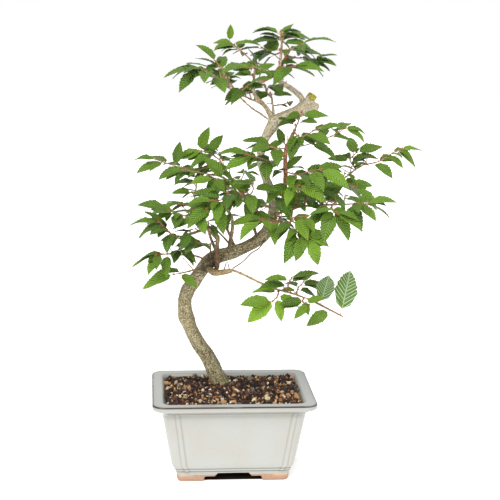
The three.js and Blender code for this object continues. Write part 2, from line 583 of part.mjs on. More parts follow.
// Square plastic grid that keeps the soil over a drain hole
function screenGeometry() {
  const plate = new THREE.BoxGeometry(SCREEN_SIDE, SCREEN_SIDE, SCREEN_THICK);
  const pitch = (SCREEN_SIDE - SCREEN_BAR) / SCREEN_CELLS;
  const size = pitch - SCREEN_BAR;
  let screen = solidOf(plate);
  for (let row = 0; row < SCREEN_CELLS; row += 1) {
    for (let column = 0; column < SCREEN_CELLS; column += 1) {
      const hole = new THREE.BoxGeometry(size, size, 2 * SCREEN_THICK);
      hole.translate(pitch * (column - 0.5), pitch * (row - 0.5), 0);
      screen = screen.subtract(solidOf(hole));
    }
  }
  return geometryOf(screen.translate([0, 0, SCREEN_THICK / 2]));
}

// Soil bed with its grains as relief, mounded a little towards the middle
function soilGeometry() {
  const rings = hollowRings(FIT, SOIL_LONG_STEPS, SOIL_SHORT_STEPS).slice(0, 3);
  const edge = rings[2];
  for (let ring = 1; ring <= SOIL_RINGS; ring += 1) {
    const share = 1 - (ring - 0.6) / (SOIL_RINGS + 0.4);
    rings.push(edge.map(([x, y], step) => {
      const grain = Math.sin(ring * 12.9898 + step * 78.233) * 43758.5453;
      const rise = (grain - Math.floor(grain)) * 2 - 1;
      const mound = SOIL_SHOULDER + SOIL_MOUND * (1 - share * share);
      return [x * share, y * share, SOIL_EDGE + mound + rise * SOIL_RELIEF];
    }));
  }
  let soil = solidOf(loft(rings));
  soil = soil.subtract(solidOf(bentCylinder(TRUNK, TRUNK_SIDES, FIT + 0.2)).translate([0, 0, -FIT]));
  [-DRAIN_X, DRAIN_X].forEach((x) => {
    const side = SCREEN_SIDE + 2 * FIT;
    const recess = new THREE.BoxGeometry(side, side, 4);
    recess.translate(x, 0, FLOOR_TOP + FIT + SCREEN_THICK + FIT - 2);
    soil = soil.subtract(solidOf(recess));
  });
  return geometryOf(soil);
}

// Where a spray's twig starts: just off the nearest side or the cut end of its limb
function twigStart(spray) {
  const limb = LIMBS[spray.limb];
  const aim = vector(spray.twig[0]);
  const steps = (limb.length - 1) * 10;
  let best = null;
  for (let step = 0; step <= steps; step += 1) {
    const spot = spotOn(limb, step / steps);
    const distance = spot.place.distanceTo(aim);
    if (best === null || distance < best.distance - 1e-6) {
      best = { ...spot, distance, atEnd: step === steps };
    }
  }
  const way = aim.clone().sub(best.place).normalize();
  let reach = best.radius + FIT;
  if (best.atEnd) {
    const cosine = way.dot(best.along);
    const slope = Math.sqrt(1 - Math.min(cosine * cosine, 1)) / cosine;
    reach = Math.min(reach, TWIG_BASE * slope + FIT / cosine + 0.05);
  }
  return best.place.clone().addScaledVector(way, reach);
}

// A spray's twig from its start to its last bud, with radii
function twigOf(spray) {
  const points = [twigStart(spray).toArray(), ...spray.twig];
  return points.map((point, index) => (
    [...point, TWIG_BASE + (TWIG_TIP - TWIG_BASE) * index / (points.length - 1)]
  ));
}

// Point of a leaf's middle surface: share of the blade's length, and of its half-width
function leafPoint(leaf, share, side, lift) {
  const turn = leaf.bend * share;
  const reach = leaf.length / leaf.bend;
  const place = leaf.root.clone();
  place.addScaledVector(leaf.heading, leaf.length * STALK_SHARE + reach * Math.sin(turn));
  place.addScaledVector(leaf.normal, -reach * (1 - Math.cos(turn)));
  const up = leaf.normal.clone().multiplyScalar(Math.cos(turn));
  up.addScaledVector(leaf.heading, Math.sin(turn));
  place.addScaledVector(leaf.across, side * Math.cos(leaf.fold));
  place.addScaledVector(up, Math.abs(side) * Math.sin(leaf.fold) + lift);
  return place;
}

function leafSamples(leaf) {
  const samples = [];
  GUARD_ROWS.forEach((share) => {
    const half = leaf.length * LEAF_HALF * Math.sqrt(Math.sin(Math.PI * Math.pow(share, 0.8)));
    GUARD_COLUMNS.forEach((column) => samples.push(leafPoint(leaf, share, half * column, 0)));
  });
  samples.push(leafPoint(leaf, 1, 0, 0));
  return samples;
}

function turned(value, axis, angle) {
  return value.clone().applyAxisAngle(axis, angle);
}

function leafHeaded(root, heading, normal, base, shrink) {
  return {
    root,
    heading,
    normal,
    across: normal.clone().cross(heading),
    length: base.length * shrink,
    bend: base.bend,
    fold: base.fold,
  };
}

// The leaf that grows at one place of a twig, turned by one of the tried changes
function leafAt(place, along, side, spread, base, turn, shrink) {
  const [droop, roll, heading] = turn;
  if (base.aim) {
    const pitch = new THREE.Vector3(0, 0, -Math.tan(droop * 0.6 * DEGREE));
    const aimed = vector(base.aim).normalize().add(pitch).normalize();
    const facing = vector(base.aim.slice(3));
    facing.addScaledVector(aimed, -facing.dot(aimed)).normalize();
    return leafHeaded(place, aimed, turned(facing, aimed, roll * DEGREE), base, shrink);
  }
  const up = base.up.clone().addScaledVector(along, -base.up.dot(along)).normalize();
  const out = along.clone().cross(up).multiplyScalar(side);
  const angle = spread + heading * DEGREE;
  const level = along.clone().multiplyScalar(Math.cos(angle)).addScaledVector(out, Math.sin(angle));
  const fall = base.droop + droop * DEGREE;
  const headed = level.clone().multiplyScalar(Math.cos(fall));
  headed.add(new THREE.Vector3(0, 0, -Math.sin(fall)));
  headed.y *= DEPTH_SHARE;
  headed.normalize();
  const facing = base.up.clone().addScaledVector(headed, -base.up.dot(headed)).normalize();
  return leafHeaded(place, headed, turned(facing, headed, base.roll + roll * DEGREE), base, shrink);
}

function tooNear(samples, guards, own) {
  return guards.some((guard) => {
    if (guard.owner === own && guard.wood) {
      return false;
    }
    const gap = guard.owner === own ? OWN_LEAF_GAP : OTHER_LEAF_GAP;
    const limit = guard.wood ? guard.radius + WOOD_GAP : gap;
    const weight = guard.wood ? 1 : HEIGHT_WEIGHT;
    return samples.some((sample) => {
      const x = sample.x - guard.place.x;
      const y = sample.y - guard.place.y;
      const z = (sample.z - guard.place.z) * weight;
      return x * x + y * y + z * z < limit * limit;
    });
  });
}

// Guard points along a piece of wood, a few millimetres apart
function woodGuards(points, owner) {
  const steps = (points.length - 1) * 5;
  const guards = [];
  for (let step = 0; step <= steps; step += 1) {
    guards.push({ ...spotOn(points, step / steps), wood: true, owner });
  }
  return guards;
}

// Upper side of a spray, leaning towards the viewer by its angle
function upOf(spray) {
  return new THREE.Vector3(0, -Math.sin(spray.lean * DEGREE), Math.cos(spray.lean * DEGREE));
}

// The share of its length that an aimed leaf keeps
function keptShare(spray, order) {
  const aim = spray.aims ? spray.aims[order] : null;
  return aim && aim.length > 6 ? aim[6] : 1;
}

// All leaves of all sprays, each hung clear of the wood and of the leaves already there
function growLeaves(twigs) {
  const guards = woodGuards(TRUNK, "wood");
  Object.values(LIMBS).forEach((limb) => guards.push(...woodGuards(limb, "wood")));
  SPRAYS.forEach((spray, index) => guards.push(...woodGuards(twigs[index], spray.name)));
  return SPRAYS.map((spray, index) => {
    const draw = drawsFrom(1000 + 37 * index);
    const up = upOf(spray);
    let side = draw() < 0.5 ? 1 : -1;
    const leaves = [];
    for (let order = 0; order < spray.leaves; order += 1) {
      const share = spray.leaves > 1 ? order / (spray.leaves - 1) : 0;
      const spot = spotOn(twigs[index], spray.first + (0.97 - spray.first) * share);
      const opening = BASE_SPREAD - SPREAD_LOSS * share * share;
      const spread = (opening + (draw() - 0.5) * SPREAD_VARIETY) * DEGREE;
      const base = {
        up,
        aim: spray.aims ? spray.aims[order] : null,
        droop: (LEAST_DROOP + draw() * DROOP_VARIETY) * DEGREE,
        roll: (draw() - 0.5) * ROLL_VARIETY * DEGREE,
        length: spray.length * (LEAST_LENGTH + draw() * LENGTH_VARIETY) * keptShare(spray, order),
        bend: (LEAST_BEND + draw() * BEND_VARIETY) * DEGREE,
        fold: (LEAST_FOLD + draw() * FOLD_VARIETY) * DEGREE,
      };
      const tries = SHRINKS.flatMap((shrink) => TURNS.map((turn) => [turn, shrink]));
      for (const [turn, shrink] of tries) {
        const leaf = leafAt(spot.place, spot.along, side, spread, base, turn, shrink);
        const samples = leafSamples(leaf);
        if (!tooNear(samples, guards, spray.name)) {
          leaves.push(leaf);
          samples.forEach((sample) => guards.push({ place: sample, wood: false, owner: spray.name }));
          break;
        }
      }
      side = -side;
    }
    return leaves;
  });
}

// One blade with its stalk: the same triangles on both faces, a rim between them
function leafGeometry(leaf) {
  const half = leaf.length * LEAF_HALF;
  const stalkEnd = [[0, STALK_HALF + 0.25], [0, -STALK_HALF - 0.25]];
  const right = OUTLINE.map(([share, width]) => [share, -width * half]);
  const left = OUTLINE.map(([share, width]) => [share, width * half]).reverse();
  const rim = [stalkEnd[1], ...right, [1, 0], ...left, stalkEnd[0]];
  const count = rim.length + 3;
  const corners = [LEAF_THICK / 2, -LEAF_THICK / 2].flatMap((lift) => {
    const rootLift = leaf.root.clone().addScaledVector(leaf.normal, lift);
    const rootLeft = rootLift.clone().addScaledVector(leaf.across, STALK_HALF);
    const rootRight = rootLift.clone().addScaledVector(leaf.across, -STALK_HALF);
    const blade = rim.map(([share, side]) => leafPoint(leaf, share, side, lift));
    return [...blade, rootLeft, rootRight, leafPoint(leaf, 0.48, 0, lift)];
  });
  const last = rim.length - 1;
  const rootLeft = rim.length;
  const rootRight = rim.length + 1;
  const middle = rim.length + 2;
  const faces = [[rootRight, 0, last], [rootRight, last, rootLeft]];
  for (let step = 0; step < rim.length; step += 1) {
    faces.push([middle, step, (step + 1) % rim.length]);
  }
  const border = [...rim.keys(), rootLeft, rootRight];
  const index = [];
  faces.forEach(([first, second, third]) => {
    index.push(first, second, third, first + count, third + count, second + count);
  });
  border.forEach((here, step) => {
    const next = border[(step + 1) % border.length];
    index.push(here + count, next + count, next, here + count, next, here);
  });
  const geometry = new THREE.BufferGeometry();
  const numbers = corners.flatMap((corner) => corner.toArray());
  geometry.setAttribute("position", new THREE.Float32BufferAttribute(numbers, 3));
  geometry.setIndex(index);
  return geometry;
}

function woodGeometry() {
  const parts = [solidOf(bentCylinder(TRUNK, TRUNK_SIDES))];
  Object.values(LIMBS).forEach((limb) => parts.push(solidOf(bentCylinder(limb, LIMB_SIDES))));
  return geometryOf(joined(parts));
}

// A twig turned so that its leaves leave it through its flat sides, joined with those leaves
function sprayGeometry(twig, leaves, up) {
  const along = vector(twig[1]).sub(vector(twig[0])).normalize();
  const level = up.clone().addScaledVector(along, -up.dot(along)).normalize();
  const corner = level.clone().add(along.clone().cross(level));
  const parts = [solidOf(bentCylinder(twig, TWIG_SIDES, 0, corner.toArray()))];
  leaves.forEach((leaf) => parts.push(solidOf(leafGeometry(leaf))));
  return geometryOf(joined(parts));
}

function piece(name, geometry, color, roughness) {
  const material = new THREE.MeshStandardMaterial({ color, roughness, metalness: 0 });
  const mesh = new THREE.Mesh(geometry, material);
  mesh.name = name;
  return mesh;
}

const twigs = SPRAYS.map(twigOf);
const leaves = growLeaves(twigs);

const bonsai = new THREE.Group();
bonsai.add(piece("pot", potGeometry(), 0xc9d0cc, 0.3));
bonsai.add(piece("soil", soilGeometry(), 0x3a2a20, 0.95));
[["drain_screen_left", -DRAIN_X], ["drain_screen_right", DRAIN_X]].forEach(([name, x]) => {
  const screen = piece(name, screenGeometry(), 0x2b2b2b, 0.6);
  screen.position.set(x, 0, FLOOR_TOP + FIT);
  bonsai.add(screen);
});
bonsai.add(piece("trunk", woodGeometry(), 0xa39a7e, 0.9));
SPRAYS.forEach((spray, index) => {
  const geometry = sprayGeometry(twigs[index], leaves[index], upOf(spray));
  bonsai.add(piece(spray.name, geometry, 0x4c8a2c, 0.55));
});

// Stand the group with its lowest middle at the origin
const bounds = new THREE.Box3().setFromObject(bonsai);
const centre = bounds.getCenter(new THREE.Vector3());
bonsai.position.set(-centre.x, -centre.y, -bounds.min.z);
bonsai.updateMatrixWorld(true);

export default bonsai;
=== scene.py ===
"""Korean hornbeam bonsai in its glazed pot, finished from the ground up.

Sizes are in millimetres from the middle of the pot's foot, x to the right, y away from the
viewer and z up, and are placed in the frame's metres as each piece is made.
"""

from __future__ import annotations

import logging
import math
import random
import sys
from collections.abc import Callable, Iterable, Iterator, Sequence
from dataclasses import dataclass, field
from enum import Enum

import bmesh
import bpy
import numpy as np
from mathutils import Euler, Matrix, Vector, noise

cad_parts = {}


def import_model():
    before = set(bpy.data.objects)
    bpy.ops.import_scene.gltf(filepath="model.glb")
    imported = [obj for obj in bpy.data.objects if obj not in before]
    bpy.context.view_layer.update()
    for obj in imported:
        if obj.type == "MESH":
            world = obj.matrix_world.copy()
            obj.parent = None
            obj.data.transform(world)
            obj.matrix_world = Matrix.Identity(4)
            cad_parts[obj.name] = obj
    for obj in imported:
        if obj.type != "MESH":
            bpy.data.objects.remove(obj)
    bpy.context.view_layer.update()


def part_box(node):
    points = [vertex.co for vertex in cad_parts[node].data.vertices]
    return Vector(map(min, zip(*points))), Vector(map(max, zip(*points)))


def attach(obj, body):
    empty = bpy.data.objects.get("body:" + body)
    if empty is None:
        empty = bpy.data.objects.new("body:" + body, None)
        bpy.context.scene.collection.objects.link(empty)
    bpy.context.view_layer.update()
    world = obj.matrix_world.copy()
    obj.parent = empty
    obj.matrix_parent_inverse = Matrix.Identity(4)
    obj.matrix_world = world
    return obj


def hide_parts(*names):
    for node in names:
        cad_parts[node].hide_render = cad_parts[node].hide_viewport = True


log = logging.getLogger("bonsai")

Line = list[list[float]]
Colour = tuple[float, float, float, float]
Array = np.ndarray
BMesh = bmesh.types.BMesh
BMVert = bmesh.types.BMVert
Material = bpy.types.Material
Socket = bpy.types.NodeSocket
Value = Socket | float | Colour

MM = 0.001
DEGREE = math.pi / 180
SEAM = 1e-7

# Pot and soil
POT_HEIGHT = 109.2
LIP_HALF = (102.5, 77.0)
LIP_CORNER = 15.0
LIP_FACE = 6.8
LIP_WIDTH = 14.0
LIP_UNDER = POT_HEIGHT - LIP_FACE
FOOT_HEIGHT = 11.5
FOOT_ARMS = (33.0, 27.0)
FOOT_STEP = 14.0
FOOT_STEP_HEIGHT = 6.4
FOOT_WIDTH = 9.0
FOOT_INSET = 0.5
BASE_HALF = (72.0, 47.0)
WALL_FOOT = (76.8, 51.5)
WALL_TOP_HALF = (89.0, 64.0)
WALL_BOTTOM = FOOT_HEIGHT + 11.0
WALL_TOP = LIP_UNDER - 9.0
WALL = 7.0
FLOOR_TOP = 19.0
DRAIN_RADIUS = 8.0
DRAIN_X = 38.0
BEAD_FROM_EDGE = 14.0
SOIL_EDGE = 104.7
SOIL_OUTSET = 4.0
SOIL_MOUND = 2.5

# Twigs and leaves, as the solids have them
FIT = 0.3
TWIG_BASE = 1.6
TWIG_TIP = 1.2
LEAF_HALF = 0.29
STALK_SHARE = 0.15
VEIN_SLANT = 0.9
VEINS = 10.0
GUARD_ROWS = (0.08, 0.24, 0.4, 0.56, 0.72, 0.9)
GUARD_COLUMNS = (-0.85, -0.42, 0.0, 0.42, 0.85)
OTHER_LEAF_GAP = 5.2
OWN_LEAF_GAP = 2.4
HEIGHT_WEIGHT = 1.9
WOOD_GAP = 3.4
BASE_SPREAD = 58.0
SPREAD_LOSS = 42.0
SPREAD_VARIETY = 18.0
LEAST_DROOP = 0.0
DROOP_VARIETY = 18.0
DEPTH_SHARE = 0.6
ROLL_VARIETY = 30.0
LEAST_LENGTH = 0.84
LENGTH_VARIETY = 0.3
LEAST_BEND = 22.0
BEND_VARIETY = 26.0
LEAST_FOLD = 9.0
FOLD_VARIETY = 13.0
LAST_LEAF = 0.97
AIM_DROOP = 0.6
BLADE_POWER = 0.8
GUARD_REACH = 15.0
TURNS = (
    (0, 0, 0), (12, 0, 0), (-14, 0, 0), (0, 18, 8), (0, -18, -8), (24, 10, 0), (-26, -10, 0),
    (10, 30, 22), (-10, -30, -22), (36, 0, -15), (-38, 0, 15),
)
SHRINKS = (1.0, 0.8)

# Small leaves that only the eye needs
SMALL_LEVEL = 0.5
FILL_EASE = 0.42
SHOOT_EASE = 0.5
SHOOT_OWNER = 999
SHOOT_TURNS = TURNS[:7]
PLACED_BEND = 34.0
PLACED_FOLD = 14.0


@dataclass(frozen=True)
class SprayPlan:
    """One leafy twig: the limb it grows from, its leaves and the way it runs."""

    name: str
    limb: str
    leaves: int
    length: float
    lean: float
    first: float
    twig: Line
    aims: dict[int, list[float]] = field(default_factory=dict)


# Middle lines of the wood: x, y, z and radius
TRUNK: Line = [
    [-2, 32, 65, 11], [-6, 31, 83, 10.8], [-10, 30, 100, 10.4], [-15.4, 29, 111, 9.9],
    [-30.4, 24, 144, 9.2], [-43.2, 20, 164, 9], [-53, 16, 184, 8.8], [-58.5, 13, 203, 8.5],
    [-61, 10, 223, 8.8], [-57, 8, 237, 8.9], [-50, 6, 248, 8.7], [-42, 4, 261, 8.6],
    [-33, 3, 273, 8.8], [-20, 3, 281, 8.5], [-4, 4, 285, 8], [14, 6, 292, 7.6],
    [31, 8, 301, 7.4], [43, 9, 314, 7], [49, 9, 330, 6.4], [50, 8, 346, 5.8],
    [45, 6, 365, 5.3], [38, 4, 384, 5], [32, 3, 403, 5], [33, 2, 420, 5.2],
    [39, 2, 436, 5.8], [46, 2, 447, 6.3], [55, 2, 454, 6.7], [66, 2, 459, 6.8],
    [79, 1, 464, 7], [90, 0, 468, 6.8], [97, 0, 470, 5.6], [100, 0, 471, 3.4],
]

LIMBS: dict[str, Line] = {
    "stub": [[85, 0, 466, 5], [89, -1, 476, 4.8], [94, -2, 484, 4.5]],
    "leader_right": [[83, 1, 467, 4.6], [81, 5, 480, 4.2], [72, 9, 489, 3.9], [59, 13, 497, 3.6],
        [50, 16, 503, 3.2]],
    "leader_left": [[46, 2, 452, 4.6], [40, 0, 464, 4.2], [34, -2, 472, 3.8], [24, -4, 482, 3.1],
        [21, -5, 490, 2.3], [21, -5, 500, 1.9], [22, -3, 512, 1.6], [23, 0, 520, 1.4]],
    "red_shoot": [[21, -5, 494, 2], [28, -9, 500, 2.4], [42, -12, 508, 2.3], [51, -11, 517, 2.1],
        [57, -8, 526, 1.8], [61, -5, 532, 1.5]],
    "crown_shoot": [[52, -11, 519, 1.9], [53, -9, 532, 1.7], [54, -6, 545, 1.4]],
    "fine_leader": [[47, 3, 459, 2.4], [46, 8, 470, 2.1], [45, 13, 479, 1.8], [40, 19, 485, 1.5],
        [38, 25, 494, 1.3]],
    "left_arm": [[43, 0, 452, 2.2], [29, -8, 462, 1.7], [17, -14, 470, 1.6], [-1, -24, 486, 1.6],
        [-12, -30, 495, 1.6], [-21, -34, 504, 1.5]],
    "back_arm": [[34, -2, 472, 2], [20, 10, 477, 1.6], [7, 24, 483, 1.5], [-6, 38, 493, 1.3]],
    "red_stem": [[50, 9, 339, 2.8], [60, 2, 352, 2.7], [62, -4, 367, 2.6], [62, -9, 386, 2.5],
        [61, -12, 401, 2.4], [61, -15, 418, 2.2], [65, -18, 430, 2], [71, -21, 444, 1.6]],
    "right_low": [[48, 9, 330, 2.6], [58, -5, 339, 2.4], [67, -14, 345, 2.3], [85, -24, 350, 1.9],
        [109, -33, 353, 1.6], [130, -40, 355, 1.4]],
    "right_high": [[50, 8, 343, 3], [64, 22, 351, 2.6], [80, 30, 362, 2.2], [95, 34, 372, 1.9],
        [118, 36, 374, 1.7], [141, 36, 376, 1.6], [156, 35, 387, 1.4], [167, 33, 394, 1.2]],
    "front_shoot": [[46, 9, 324, 2.6], [50, -10, 328, 2.4], [56, -28, 331, 2.2], [63, -40, 327, 1.8],
        [69, -48, 324, 1.4]],
    "right_back": [[49, 9, 334, 2.6], [65, 36, 342, 2.2], [87, 60, 352, 1.8], [110, 76, 356, 1.4]],
    "left_front": [[48, 8, 342, 2.4], [34, -8, 349, 2.2], [18, -20, 356, 2], [2, -30, 361, 1.8],
        [-11, -38, 363, 1.5]],
    "left_high": [[45, 9, 316, 2.6], [30, 16, 336, 2.4], [16, 20, 353, 2.2], [3, 24, 367, 1.9],
        [-5, 28, 381, 1.7], [-12, 32, 390, 1.5], [-17, 35, 399, 1.3]],
    "bend_front": [[-25, 3, 278, 3], [-22, -8, 295, 2.8], [-22, -17, 311, 2.5], [-33, -28, 322, 2.2],
        [-46, -38, 321, 1.9], [-64, -48, 317, 1.5]],
    "bend_back": [[-18, 4, 280, 3], [-27, 18, 298, 2.6], [-33, 30, 316, 2.3], [-41, 38, 334, 2],
        [-48, 42, 349, 1.7], [-46, 44, 363, 1.4]],
    "bend_mid": [[-7, 3, 283, 3.2], [-5, -6, 303, 2.8], [-3, -13, 322, 2.5], [-5, -18, 336, 2.2],
        [-11, -23, 345, 1.9], [-17, -28, 353, 1.6]],
    "left_thin": [[-21, -14, 305, 2], [-37, -20, 323, 1.7], [-54, -30, 335, 1.4], [-68, -38, 342, 1.2]],
    "low_thin": [[-35, 2, 269, 1.8], [-40, -10, 281, 1.6], [-51, -20, 287, 1.4], [-67, -34, 291, 1.3],
        [-81, -42, 294, 1.1]],
    "behind": [[31, 8, 300, 2.8], [27, 30, 315, 2.4], [24, 48, 332, 2], [16, 64, 345, 1.5]],
    "back_left": [[3, 5, 288, 2.8], [-3, 30, 302, 2.3], [-12, 54, 320, 1.8], [-22, 72, 333, 1.4]],
    "low_limb": [[-36, 2, 269, 3.8], [-25, -14, 264, 3.6], [-14, -24, 267, 3.2], [-4, -32, 271, 2.4],
        [11, -42, 267, 2.1], [28, -50, 260, 2], [41, -55, 255, 1.9], [53, -58, 252, 1.8],
        [73, -62, 247, 1.6], [91, -65, 241, 1.4]],
    "low_stem": [[-41, 4, 261, 2], [-49, -12, 267, 1.6], [-58, -25, 268, 1.3]],
}


